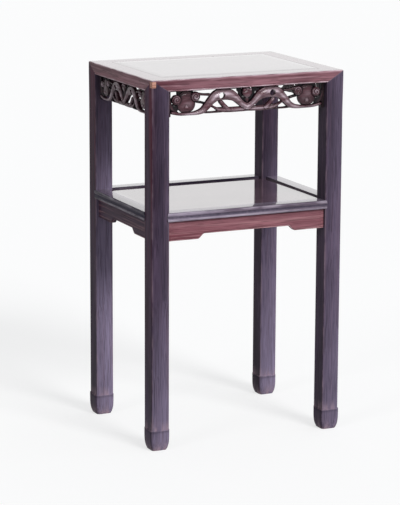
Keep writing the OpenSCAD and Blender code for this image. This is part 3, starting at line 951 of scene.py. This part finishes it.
@dataclass(frozen=True)
class ShelfRail:
    """One moulded rail of the shelf: a rounded top edge, a cove and a bead, lapped over the legs."""

    sizes: StandSizes
    side: Side
    seed: float
    tone: float
    mould_round: float = 2.5 * MM
    cove_h: float = 6.5 * MM
    cove_depth: float = 1.4 * MM
    bead_h: float = 5.5 * MM
    bead_depth: float = 1.4 * MM
    lap: float = 3 * MM
    lap_point: float = 2 * MM
    inner_ease: float = 0.6 * MM
    inner_wear: float = 0.6
    bead_wear: float = 0.8
    line_place: float = 0.35
    line_width: float = 0.14
    polish_depth: float = 0.4 * MM
    turn_steps: int = 9
    steps: int = 41

    def section(self) -> tuple[np.ndarray, np.ndarray, np.ndarray]:
        """Draws the section as (inward, up): rounded top edge, cove, bead and inner face.

        Returns:
            The section's points, the worn edges and painted highlights at each, and the darkening at each.
        """
        sizes, face = self.sizes, -self.sizes.shelf_proud
        up, r = sizes.shelf_z, self.mould_round
        turn = np.linspace(0, 1, self.turn_steps)
        top_turn = math.pi / 2 * (1 + turn)
        edge = np.stack([face + r + r * np.cos(top_turn), sizes.shelf_top - r + r * np.sin(top_turn)], 1)
        cove_turn = math.pi * (0.5 - turn)
        cove = np.stack([face + self.cove_depth * np.cos(cove_turn),
                         up + self.bead_h + self.cove_h / 2 * (1 + np.sin(cove_turn))], 1)
        bead_turn = math.pi * (0.5 + turn)
        bead = np.stack([face + self.bead_depth * (1 + np.cos(bead_turn)),
                         up + self.bead_h / 2 * (1 + np.sin(bead_turn))], 1)
        wide = sizes.shelf_rail
        inner = np.array([[wide, up], [wide, sizes.shelf_top - self.inner_ease],
                          [wide - self.inner_ease, sizes.shelf_top]])
        points = np.concatenate([edge, cove, bead, inner])
        plain = np.zeros_like(turn)
        bulge = np.sin(math.pi * turn)
        # Worn rounded top edge and bead, partly a painted highlight along them.
        wear = np.concatenate([turn, plain, self.bead_wear * bulge, [0, 0, self.inner_wear]])
        # A dark line painted on the rounded top edge, and painted shade in the cove.
        line = np.exp(-((turn - self.line_place) / self.line_width) ** 2)
        hollow = np.concatenate([line, bulge, plain, [0, 0, 0]])
        return points, wear, hollow

    def build(self, materials: Materials) -> bpy.types.Object:
        """Carries the section between the legs, with the part that stands proud run on over the legs' faces.

        The lap is longest half way up the rail, so its end is a shallow point.

        Args:
            materials: Materials by slot.

        Returns:
            The rail.
        """
        sizes = self.sizes
        section, wear, hollow = self.section()
        middle = (sizes.shelf_z + sizes.shelf_top) / 2
        off_middle = np.abs(section[:, 1] - middle) / (sizes.shelf_top - middle)
        is_proud = section[:, 0] < -HAIR
        lap = np.where(is_proud, self.lap + self.lap_point * (1 - off_middle), 0)
        half = sizes.half_span(self.side)
        along = np.linspace(-1, 1, self.steps)[:, None] * half
        along = np.where(np.abs(along) > half - TINY, np.sign(along) * (half + lap), along + 0 * lap)
        local = carried(section, along)
        core = sizes.shelf_rail / 2
        ends = np.array([[-half, core, middle], [half, core, middle]])
        polish = section[:, 1] > sizes.shelf_top - self.polish_depth
        # The polished top keeps its own colour; the rest takes the side's painted shade.
        tone = np.where(polish, 0.0, self.tone)
        shape = loft(local, ends, local + self.seed, ends + self.seed, wear=wear, hollow=hollow,
                     polish=polish.astype(float), tone=tone)
        shape.points = sizes.place(shape.points, self.side)
        return shape.piece(f"shelf_{self.side.word}_rail", SHELF_WOOD, materials)


@dataclass(frozen=True)
class BracketApron:
    """A plain apron under the shelf whose ends drop into brackets, with a bead along its lower edge."""

    sizes: StandSizes
    side: Side
    seed: float
    tone: float
    bracket_l: float = 69 * MM
    curve_l: float = 17 * MM
    drop: float = 11 * MM
    bead_r: float = 1.2 * MM
    quirk_depth: float = 0.5 * MM
    end_strip: float = 7 * MM
    strip_proud: float = 0.5 * MM
    strip_rise: Triple = (0.2 * MM, 0.5 * MM, 0.9 * MM)
    quirk_levels: tuple[float, float, float, float] = (0.1 * MM, 0.7 * MM, 1.2 * MM, 6 * MM)
    # Painted shade on the apron's top, under the shelf.
    under_shelf_shade: float = 0.3
    bead_steps: int = 9
    straight_steps: int = 8
    curve_steps: int = 22
    bracket_steps: int = 10

    def build(self, materials: Materials) -> bpy.types.Object:
        """Carries the section along the apron; its lower edge follows a straight, an S-curve and a straight.

        The S-curve is half a cosine wave. Near each leg the face steps out by the strip's stand-out.

        Args:
            materials: Materials by slot.

        Returns:
            The apron.
        """
        sizes, r = self.sizes, self.bead_r
        box = node_box("bracket_front_apron")
        half = sizes.half_span(self.side)
        front = sizes.half_d + box[0, 1]
        thick = np.ptp(box[:, 1])
        curve_x = half - self.bracket_l - self.curve_l
        strip_x = half - self.end_strip
        right = np.unique(np.concatenate([
            np.linspace(0, curve_x, self.straight_steps),
            curve_x + np.linspace(0, self.curve_l, self.curve_steps),
            np.linspace(curve_x + self.curve_l, strip_x, self.bracket_steps),
            strip_x + np.array(self.strip_rise), [half]]))
        along = np.concatenate([-right[:0:-1], right])
        share = np.clip((np.abs(along) - curve_x) / self.curve_l, 0, 1)
        edge = box[0, 2] + self.drop * (1 + np.cos(math.pi * share)) / 2
        proud = self.strip_proud * np.clip((np.abs(along) - strip_x) / self.strip_rise[-1], 0, 1)
        turn = np.linspace(-math.pi / 2, -1.5 * math.pi, self.bead_steps)
        bead_y, bead_z = r + r * np.cos(turn), r + r * np.sin(turn)
        quirk = self.quirk_depth
        inward = np.concatenate([[thick], bead_y, [quirk, quirk, 0.0, 0.0, 0.0, thick]])
        above = np.concatenate([[0.0], bead_z, 2 * r + np.array(self.quirk_levels), [0.0, 0.0]])
        hung = np.concatenate([np.zeros(len(inward) - 2), [1, 1]]).astype(bool)
        level = np.where(hung[None], sizes.shelf_z + 0 * edge[:, None], edge[:, None] + above[None])
        is_face = (inward < 2 * r) & ~np.isclose(inward, thick)
        depth_in = front + inward[None] - np.where(is_face[None], proud[:, None], 0)
        local = np.stack([np.broadcast_to(along[:, None], level.shape), depth_in, level], axis=-1)
        # Worn bead, partly a painted highlight; painted shade in the quirk and along the top under the
        # shelf.
        wear = np.concatenate([[0], np.sin(np.linspace(0, math.pi, self.bead_steps)), np.zeros(6)])
        hollow = np.concatenate([np.zeros(1 + self.bead_steps), [1, 1, 0, 0, self.under_shelf_shade, 0]])
        ends = local[[0, -1]].mean(axis=1)
        shape = loft(local, ends, local + self.seed, ends + self.seed, wear=wear, hollow=hollow,
                     tone=np.full((1, 1), self.tone))
        shape.points = sizes.place(shape.points, self.side)
        return shape.piece(f"bracket_{self.side.word}_apron", BRACKET_WOOD, materials)


@dataclass(frozen=True)
class Stroke:
    """A carved stem: a smooth line through points of the motif, with a width at each, in millimetres."""

    knots: tuple[tuple[float, float, float], ...]
    level: float
    crown: float
    ridges: float = 0.0
    moat: float = 0.5
    flute: float = 0.65
    steps: int = 6

    def path(self) -> np.ndarray:
        """Runs a smooth curve through the knots: a Catmull-Rom spline of place and width.

        Returns:
            Points as rows of along, up and width.
        """
        knots = np.array(self.knots)
        padded = np.concatenate([2 * knots[:1] - knots[1:2], knots, 2 * knots[-1:] - knots[-2:-1]])
        p0, p1, p2, p3 = padded[:-3], padded[1:-2], padded[2:-1], padded[3:]
        t = np.linspace(0, 1, self.steps, endpoint=False)[None, :, None]
        p0, p1, p2, p3 = (p[:, None, :] for p in (p0, p1, p2, p3))
        bend = 2 * p0 - 5 * p1 + 4 * p2 - p3 + t * (3 * (p1 - p2) + p3 - p0)
        curve = p1 + 0.5 * t * (p2 - p0 + t * bend)
        return np.concatenate([curve.reshape(-1, 3), knots[-1:]])

    def measure(self, points: np.ndarray, scale: np.ndarray) -> tuple[np.ndarray, np.ndarray]:
        """Measures points against the stem.

        Args:
            points: Rows of along and up, in millimetres.
            scale: How far the motif is stretched along and up, and in width.

        Returns:
            The distance to the stem's outline, negative inside, and the carved height there.
        """
        path = self.path() * scale
        start, step = path[:-1, :2], np.diff(path[:, :2], axis=0)
        half = path[:, 2] / 2
        to_point = points[:, None, :] - start[None]
        share = np.clip((to_point * step).sum(-1) / np.maximum((step ** 2).sum(-1), TINY), 0, 1)
        away = to_point - share[..., None] * step[None]
        reach = half[None, :-1] + share * np.diff(half)[None]
        gap = np.linalg.norm(away, axis=-1) - reach
        best = gap.argmin(axis=1)
        row = np.arange(len(points))
        across = (step[best, 0] * away[row, best, 1] - step[best, 1] * away[row, best, 0])
        across = across / np.maximum(np.linalg.norm(step[best], axis=-1) * reach[row, best], TINY)
        outline = gap[row, best]
        round_top = np.sqrt(np.clip(1 - np.clip(1 + outline / reach[row, best], 0, 1) ** 2, 0, 1))
        flute = self.flute * np.cos(math.pi * self.ridges * across) if self.ridges else 0.0
        return outline, self.level + (self.crown + flute) * round_top


@dataclass(frozen=True)
class Boss:
    """A carved round mass: a dome with a rolled spiral cut into it, in millimetres."""

    along: float
    up: float
    radius: float
    level: float
    crown: float
    turns: float = 0.0
    cut: float = 0.9
    lead: float = 0.0
    moat: float = 0.5

    def measure(self, points: np.ndarray, scale: np.ndarray) -> tuple[np.ndarray, np.ndarray]:
        """Measures points against the mass, as a stem does.

        Args:
            points: Rows of along and up, in millimetres.
            scale: How far the motif is stretched along and up, and in width.

        Returns:
            The distance to the outline, negative inside, and the carved height there.
        """
        away = points - np.array([self.along, self.up]) * scale[:2]
        radius = self.radius * scale[2]
        distance = np.linalg.norm(away, axis=1)
        share = np.clip(distance / radius, 0, 1)
        height = self.level + self.crown * np.sqrt(1 - share ** 2)
        if self.turns:
            angle = np.arctan2(away[:, 1], away[:, 0]) / (2 * math.pi) + self.lead
            wave = np.cos(2 * math.pi * (angle + self.turns * share))
            height = height + self.cut * wave * np.sqrt(1 - share ** 4)
        return distance - radius, height


@dataclass(frozen=True)
class Scrolls:
    """The carved motif: half of a mirrored run of stems, tendrils and cloud-shaped heads, in millimetres."""

    half_l: float = 187.0
    height: float = 54.0
    strip_h: float = 2.5
    end_w: float = 8.0
    eye: tuple[float, float, float] = (60.0, -16.0, 14.0)
    deepest: float = 7.5
    moat_reach: float = 2.2
    overlap: float = 0.4
    strip_level: float = 2.6
    end_level: float = 2.2
    end_ripple: float = 0.8
    end_ripples: float = 2.0
    forms: tuple[Stroke | Boss, ...] = (
        Stroke(((0, -37, 5), (8, -29, 6), (14, -19, 8), (16, -7, 10)), level=0.4, crown=1.0),
        Boss(18, -6, 5.5, level=0.4, crown=0.8),
        Boss(168, -36, 9, level=0.8, crown=1.2),
        Stroke(((145, 0, 38), (145, -10, 38)), level=1.2, crown=0.6),
        Stroke(((182, -24, 8), (178, -35, 11), (171, -44, 11), (162, -49.5, 7)), level=1.2, crown=1.8,
               ridges=1.6),
        Stroke(((118, -26, 6), (105, -29, 5.5), (94, -33, 7)), level=0.8, crown=1.6),
        Stroke(((182, -22, 7), (166, -20, 14), (143, -15, 22), (121, -15, 14)), level=1.4, crown=1.2),
        Boss(143, -21, 19, level=2.4, crown=1.8),
        Boss(143, -29, 21, level=2.6, crown=2.2),
        Boss(166, -20, 10.5, level=2.4, crown=2.8, turns=2.0, cut=1.3, lead=0.1, moat=1.8),
        Boss(121, -15, 10.5, level=2.4, crown=2.8, turns=2.0, cut=1.3, lead=0.4, moat=1.8),
        Boss(143, -37, 4.5, level=4.2, crown=1.6, moat=0.9),
        Boss(143, -37, 1.6, level=5.6, crown=0.6, moat=0.8),
        Stroke(((116, -10, 6), (101, -12, 5), (88, -13, 6)), level=1.8, crown=2.0, moat=0.6),
        Stroke(((60, -49.5, 6), (76, -50.5, 4), (90, -50.5, 4), (102, -49, 6)), level=1.4, crown=1.8),
        Stroke(((0, -47, 11), (18, -47.5, 11), (40, -47.5, 11), (56, -46.5, 11), (68, -45, 8), (76, -41, 5),
                (84, -37, 5)), level=2.4, crown=2.6, ridges=1.9, moat=0.8),
        Stroke(((44, -46, 8), (54, -38, 9), (62, -29, 9)), level=2.8, crown=2.6, ridges=1.9, moat=1.0),
        Stroke(((0, -44, 9), (0, -30, 11), (0, -18, 14)), level=1.6, crown=1.6, ridges=1.0),
        Boss(0, -12, 11.5, level=2.8, crown=2.8, moat=1.2),
        Boss(0, -5, 4, level=4.6, crown=1.6, moat=0.9),
        Boss(7, -7, 3.6, level=4.2, crown=1.6, moat=0.9),
        Stroke(((0, -43, 13), (14, -35, 13), (28, -22, 18), (42, -15, 24), (58, -13.5, 25), (72, -16, 23),
                (84, -25, 18), (94, -36, 16), (104, -45, 13), (118, -49.5, 9), (138, -51, 6),
                (158, -50.5, 6), (176, -47, 6)), level=3.0, crown=3.0, ridges=2.0, moat=1.6))

    def measure(self, points: np.ndarray, half_l: float) -> tuple[np.ndarray, np.ndarray]:
        """Measures points of an apron against the motif, mirrored about the apron's middle.

        The outline is the union of all forms and of the strips along the top and the ends, less the eye. The
        forms are cut in order: each one is as high as itself or as what lies under it, and sinks a shallow
        moat into what is beside it.

        Args:
            points: Rows of along and up, in millimetres, from the middle of the apron's upper edge.
            half_l: Half the apron's length, in millimetres.

        Returns:
            The distance to the outline, negative inside, and the carved height there.
        """
        scale = np.array([half_l / self.half_l, 1.0, min(half_l / self.half_l, 1.0)])
        half = np.stack([np.abs(points[:, 0]), points[:, 1]], axis=1)
        outline = np.full(len(points), np.inf)
        height = np.zeros(len(points))
        for form in self.forms:
            gap, form_height = form.measure(half, scale)
            outline = np.minimum(outline, gap)
            height = height - form.moat * np.where(gap > 0, np.exp(-(gap / self.moat_reach) ** 2), 0)
            height = np.where(gap < self.overlap, np.maximum(height, form_height), height)
        strip = -self.strip_h - half[:, 1]
        end = half_l - self.end_w * scale[2] - half[:, 0]
        ripple = self.end_level + self.end_ripple * np.cos(end * self.end_ripples)
        height = np.where(strip < 0, np.maximum(height, self.strip_level), height)
        height = np.where(end < 0, np.maximum(height, ripple), height)
        outline = np.minimum(np.minimum(outline, strip), end)
        *eye, eye_w = self.eye
        hole = eye_w / 2 * scale[2] - np.linalg.norm(half - np.array(eye) * scale[:2], axis=1)
        return np.maximum(outline, hole), np.clip(height, 0, self.deepest)


@dataclass(frozen=True)
class CarvedApron:
    """A pierced and carved apron under the top frame."""

    sizes: StandSizes
    side: Side
    seed: float
    scrolls: Scrolls = Scrolls()
    cell: float = 0.75
    below: float = 1.5
    probe: float = 0.02
    least_slope: float = 0.2
    slack: float = 0.7
    fit_steps: int = 4
    # The flank and ridge values paint a reflection of the floor and highlights, the shade values paint shade
    # in the low parts, and the back is darkened evenly.
    flank_step: float = 0.5
    flank_gain: float = 0.8
    flank_from: tuple[float, float] = (2.4, -0.4)
    ridge_from: tuple[float, float] = (2.2, -1.2)
    ridge_most: float = 0.8
    shade_from: tuple[float, float] = (-1.1, 0.85)
    back_darkening: float = 0.3

    def grid(self) -> tuple[np.ndarray, tuple[int, int]]:
        """Lays a grid of points over the apron, in millimetres.

        Returns:
            The points as rows of along and up, and the grid's rows and columns.
        """
        half_l = self.sizes.half_span(self.side) / MM
        along = np.linspace(-half_l, half_l, 2 * round(half_l / self.cell) + 1)
        drop = self.scrolls.height + self.below
        up = np.linspace(-drop, 0, round(drop / self.cell) + 1)
        flat = np.stack(np.meshgrid(along, up), axis=-1)
        return flat.reshape(-1, 2), flat.shape[:2]

    def fit(self, points: np.ndarray, loose: np.ndarray, half_l: float) -> np.ndarray:
        """Moves the points on the edge of the kept cells onto the outline, with a few Newton steps.

        Args:
            points: The grid's points.
            loose: Which of them may move.
            half_l: Half the apron's length.

        Returns:
            The grid with those points moved.
        """
        moved, near = points[loose], points[loose]
        most = self.slack * self.cell
        for _ in range(self.fit_steps):
            here = self.scrolls.measure(moved, half_l)[0]
            slope = np.stack([self.scrolls.measure(moved + self.probe * axis, half_l)[0] - here
                              for axis in np.eye(2)], axis=1) / self.probe
            steep = np.maximum((slope ** 2).sum(1, keepdims=True), self.least_slope)
            moved = near + np.clip(moved - here[:, None] * slope / steep - near, -most, most)
        fitted = points.copy()
        fitted[loose] = moved
        return fitted

    def marks(self, points: np.ndarray, height: np.ndarray, half_l: float) -> dict[str, np.ndarray]:
        """Paints highlights on the ridges and a reflection of the floor on the flanks that face down, paints
        shade in the low parts, and darkens the back.

        Each mark is a straight line of the relief, cut off at its ends. A flank is where the carving rises
        upwards.

        Args:
            points: The grid's points.
            height: The carved height at each, in millimetres.
            half_l: Half the apron's length, in millimetres.

        Returns:
            The painted highlights and reflections and the darkening of the front's points, then of the
            back's.
        """
        relief = height / self.scrolls.deepest
        # Painted highlight on the ridges, painted reflection of the floor on the flanks that face down, and
        # painted shade in the low parts.
        ridge, flank, darkening = (np.clip(gain * relief + start, 0, 1)
                              for gain, start in (self.ridge_from, self.flank_from, self.shade_from))
        step = np.array([0, self.flank_step])
        above, below = (self.scrolls.measure(points + shift, half_l)[1] for shift in (step, -step))
        flank = flank * np.clip(self.flank_gain * (above - below), 0, 1)
        wear = np.maximum(np.minimum(ridge, self.ridge_most), flank)
        back = np.full_like(relief, self.back_darkening)
        return {"wear": np.concatenate([wear, 0 * wear]), "hollow": np.concatenate([darkening, back])}

    @staticmethod
    def walls(kept: np.ndarray, index: np.ndarray) -> np.ndarray:
        """Makes a wall from front to back wherever a kept cell has no kept neighbour.

        Args:
            kept: Which cells of the grid are kept.
            index: The numbers of the front's points; the back's follow them.

        Returns:
            The walls' faces.
        """
        rows, columns = index.shape
        around = np.pad(kept, 1)
        faces = []
        for row, column, first, second in ((-1, 0, (0, 0), (0, 1)), (0, 1, (0, 1), (1, 1)),
                                           (1, 0, (1, 1), (1, 0)), (0, -1, (1, 0), (0, 0))):
            bare = kept & ~around[1 + row:rows + row, 1 + column:columns + column]
            start, end = (index[down:rows - 1 + down, right:columns - 1 + right][bare]
                          for down, right in (first, second))
            faces.append(np.stack([end, start, start + index.size, end + index.size], axis=-1))
        return np.concatenate(faces)

    def build(self, materials: Materials) -> bpy.types.Object:
        """Keeps the grid cells inside the motif, raises the front by the carved height, and walls the edges.

        Args:
            materials: Materials by slot.

        Returns:
            The apron.
        """
        sizes, half_l = self.sizes, self.sizes.half_span(self.side) / MM
        front, back = sizes.half_d + node_box("carved_front_apron")[:, 1]
        points, (rows, columns) = self.grid()
        index = np.arange(rows * columns).reshape(rows, columns)
        centre = (points[index[:-1, :-1]] + points[index[1:, 1:]]) / 2
        kept = self.scrolls.measure(centre.reshape(-1, 2), half_l)[0].reshape(rows - 1, columns - 1) < 0
        around = np.pad(kept, 1)
        touching = sum(around[i:i + rows, j:j + columns].astype(int) for i in (0, 1) for j in (0, 1))
        loose = (touching > 0) & (touching < 4)
        loose[-1, :], loose[:, 0], loose[:, -1] = False, False, False
        points = self.fit(points, loose.ravel(), half_l)
        height = self.scrolls.measure(points, half_l)[1]
        face = np.stack([index[:-1, :-1], index[:-1, 1:], index[1:, 1:], index[1:, :-1]], axis=-1)[kept]
        quads = np.concatenate([face, face[:, ::-1] + index.size, self.walls(kept, index)])
        depth = front + (self.scrolls.deepest - height) * MM
        along, level = points[:, 0] * MM, sizes.rail_z + points[:, 1] * MM
        local = np.concatenate([np.stack([along, inward, level], axis=1)
                                for inward in (depth, np.full_like(depth, back))])
        used, compact = np.unique(quads, return_inverse=True)
        marks = {mark: values[used] for mark, values in self.marks(points, height, half_l).items()}
        shape = Shell(sizes.place(local[used], self.side), compact.reshape(quads.shape),
                      np.zeros((0, 3), int), local[used] + self.seed, marks)
        return shape.piece(f"carved_{self.side.word}_apron", CARVED_WOOD, materials)


@dataclass(frozen=True)
class CornerPatch:
    """The small let-in repair at the top front corner, a hair proud of the faces round it."""

    sizes: StandSizes
    seed: float
    proud: float = 0.25 * MM
    ease: float = 0.8 * MM
    arris: float = 2.2 * MM
    corner_share: float = 0.3
    ease_steps: int = 5

    def build(self, materials: Materials) -> bpy.types.Object:
        """Stacks rounded rectangles up the patch and eases its upper and lower edges.

        Args:
            materials: Materials by slot.

        Returns:
            The patch.
        """
        low, high = node_box("corner_patch")
        low = low - np.array([self.proud, self.proud, 0.0])
        turn = np.linspace(0, math.pi / 2, self.ease_steps)
        inset = self.ease * np.concatenate([1 - np.sin(turn), 1 - np.cos(turn)])
        level = np.concatenate([low[2] + self.ease * (1 - np.cos(turn)),
                                high[2] - self.ease * (1 - np.sin(turn))])
        half, centre = (high - low)[:2] / 2, (high + low)[:2] / 2
        radius = np.full_like(inset, self.arris)
        plan = rectangle(half[0] - inset, half[1] - inset, radius, self.corner_share) + centre
        local = stacked(plan, level)
        ends = np.array([[*centre, low[2]], [*centre, high[2]]])
        # Darkens the eased edges: painted shadow along the lower edge and a dark line along the upper.
        shape = loft(local, ends, local + self.seed, ends + self.seed, hollow=inset[:, None] / self.ease)
        return shape.piece("corner_patch", PATCH_WOOD, materials)


@dataclass(frozen=True)
class Studio:
    """The camera, the pale floor and the soft light."""

    place: Triple = (-2.1245, -4.5206, 1.4582)
    yaw: float = math.radians(24.830)
    pitch: float = math.radians(12.148)
    roll: float = math.radians(-0.256)
    lens: float = 164.5
    floor_half: float = 60.0
    sky: float = 0.66
    sky_left: float = 0.12
    sky_span: tuple[float, float] = (-0.9, 0.6)
    sky_tint: Rgb = (0.94, 0.97, 1.0)
    floor_paper: Rgb = (0.36, 0.36, 0.36)
    floor_glow: float = 0.675
    lamps: tuple[tuple[str, float, float, Triple], ...] = (
        ("key_light", 2.1, 22.0, (0.25, -1.0, 0.62)), ("fill_light", 0.45, 20.0, (-1.0, -0.43, 0.5)))

    def camera(self) -> None:
        """Sets the camera at the photograph's viewing angle, looking down by its pitch."""
        level = math.cos(self.pitch)
        forward = Vector((math.sin(self.yaw) * level, math.cos(self.yaw) * level, -math.sin(self.pitch)))
        right = Vector((math.cos(self.yaw), -math.sin(self.yaw), 0.0))
        down = forward.cross(right)
        across = math.cos(self.roll) * right + math.sin(self.roll) * down
        upward = math.sin(self.roll) * right - math.cos(self.roll) * down
        turn = Matrix((across, upward, -forward)).transposed()
        data = bpy.data.cameras.new("camera")
        data.lens = self.lens
        camera = bpy.data.objects.new("camera", data)
        camera.matrix_world = Matrix.Translation(self.place) @ turn.to_4x4()
        bpy.context.scene.collection.objects.link(camera)
        bpy.context.scene.camera = camera

    def floor(self) -> None:
        """Lays a wide pale floor that shows white to the camera and to reflections but keeps the shadow."""
        reach = self.floor_half
        mesh = bpy.data.meshes.new("floor")
        corners = [(-reach, -reach, 0), (reach, -reach, 0), (reach, reach, 0), (-reach, reach, 0)]
        mesh.from_pydata(corners, [], [(0, 1, 2, 3)])
        material, add = blank_material("floor")
        seen = self.seen(add)
        paper = add.add("BsdfDiffuse", {"Color": (*self.floor_paper, 1)})
        strength = add.math("MULTIPLY", seen, self.floor_glow)
        glow = add.add("Emission", {"Color": (1, 1, 1, 1), "Strength": strength})
        both = add.add("AddShader", {0: paper.outputs["BSDF"], 1: glow.outputs["Emission"]})
        add.add("OutputMaterial", {"Surface": both.outputs["Shader"]})
        mesh.materials.append(material)
        floor = bpy.data.objects.new("floor", mesh)
        bpy.context.scene.collection.objects.link(floor)

    @staticmethod
    def seen(add: Nodes) -> bpy.types.NodeSocket:
        """Gives 1 for rays from the camera, from a reflection or through a clear body, and 0 for others."""
        path = add.add("LightPath").outputs
        direct = add.math("MAXIMUM", path["Is Camera Ray"], path["Is Glossy Ray"])
        return add.math("MAXIMUM", direct, path["Is Transmission Ray"])

    def sky_light(self) -> None:
        """Sets a white surround, dimmer as a light than as a background, and dimmest on the left."""
        world = bpy.data.worlds.new("surround")
        bpy.context.scene.world = world
        world.use_nodes = True
        world.node_tree.nodes.clear()
        add = Nodes(world.node_tree)
        seen = self.seen(add)
        across = add.add("SeparateXYZ", {"Vector": add.add("TexCoord").outputs["Generated"]}).outputs["X"]
        left, right = self.sky_span
        sideways = add.add("MapRange", {"Value": across, "From Min": left, "From Max": right,
                                        "To Min": self.sky_left, "To Max": self.sky}).outputs["Result"]
        strength = add.add("MapRange", {"Value": seen, "To Min": sideways, "To Max": 1.0})
        tint = add.mix(seen, (*self.sky_tint, 1), (1, 1, 1, 1))
        light = add.add("Background", {"Color": tint, "Strength": strength.outputs["Result"]})
        add.add("OutputWorld", {"Surface": light.outputs["Background"]})

    def shine(self) -> None:
        """Hangs the soft lamps, far off so that they light evenly."""
        for name, energy, spread, toward in self.lamps:
            data = bpy.data.lights.new(name, "SUN")
            data.energy = energy
            data.angle = math.radians(spread)
            lamp = bpy.data.objects.new(name, data)
            lamp.rotation_euler = Vector(toward).to_track_quat("Z", "Y").to_euler()
            bpy.context.scene.collection.objects.link(lamp)

    def build(self) -> None:
        """Sets up the camera, floor, surround and lamps."""
        self.camera()
        self.floor()
        self.sky_light()
        self.shine()


def main() -> None:
    """Builds the stand piece by piece, then the studio, and notes the sizes."""
    logging.basicConfig(level=logging.INFO, format="%(name)s: %(message)s")
    bpy.context.scene.view_settings.view_transform = "Standard"
    Studio().build()
    effects = Effects()
    finishes = (LEG_WOOD, TOP_WOOD, PANEL_WOOD, CARVED_WOOD, SHELF_WOOD, BRACKET_WOOD, PATCH_WOOD,
                INNER_WOOD)
    materials = {finish.slot: finish.material(effects) for finish in finishes}
    sizes = StandSizes.from_frame()
    LOG.info("sizes: %s", sizes)
    for number, (node, (to_right, to_back, face_tones, side_tones)) in enumerate(LEGS.items()):
        start = grain_start(LEG_GRAIN, number)
        Leg(sizes, node, to_right, to_back, start, face_tones, side_tones).build(materials)
    for side in Side:
        number = side.value
        # Every side but the front gets painted shade on its shelf rail and bracket apron.
        tone = 0.0 if side is Side.FRONT else SHADE_AND_SHEEN_TONE
        TopRail(sizes, side, grain_start(TOP_RAIL_GRAIN, number)).build(materials)
        CarvedApron(sizes, side, grain_start(CARVED_GRAIN, number)).build(materials)
        ShelfRail(sizes, side, grain_start(SHELF_RAIL_GRAIN, number), tone).build(materials)
        BracketApron(sizes, side, grain_start(BRACKET_GRAIN, number), tone).build(materials)
    Panel(sizes, "top_panel", sizes.leg, TOP_PANEL_GRAIN).build(materials)
    Panel(sizes, "shelf_panel", sizes.shelf_rail, SHELF_PANEL_GRAIN).build(materials)
    CornerPatch(sizes, PATCH_GRAIN).build(materials)
    for node in ("top_batten", "shelf_batten"):
        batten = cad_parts[node]
        batten.data.materials.clear()
        batten.data.materials.append(materials[INNER_WOOD.slot])
        LOG.info("%s keeps its solid", node)


if __name__ == "__main__":
    main()
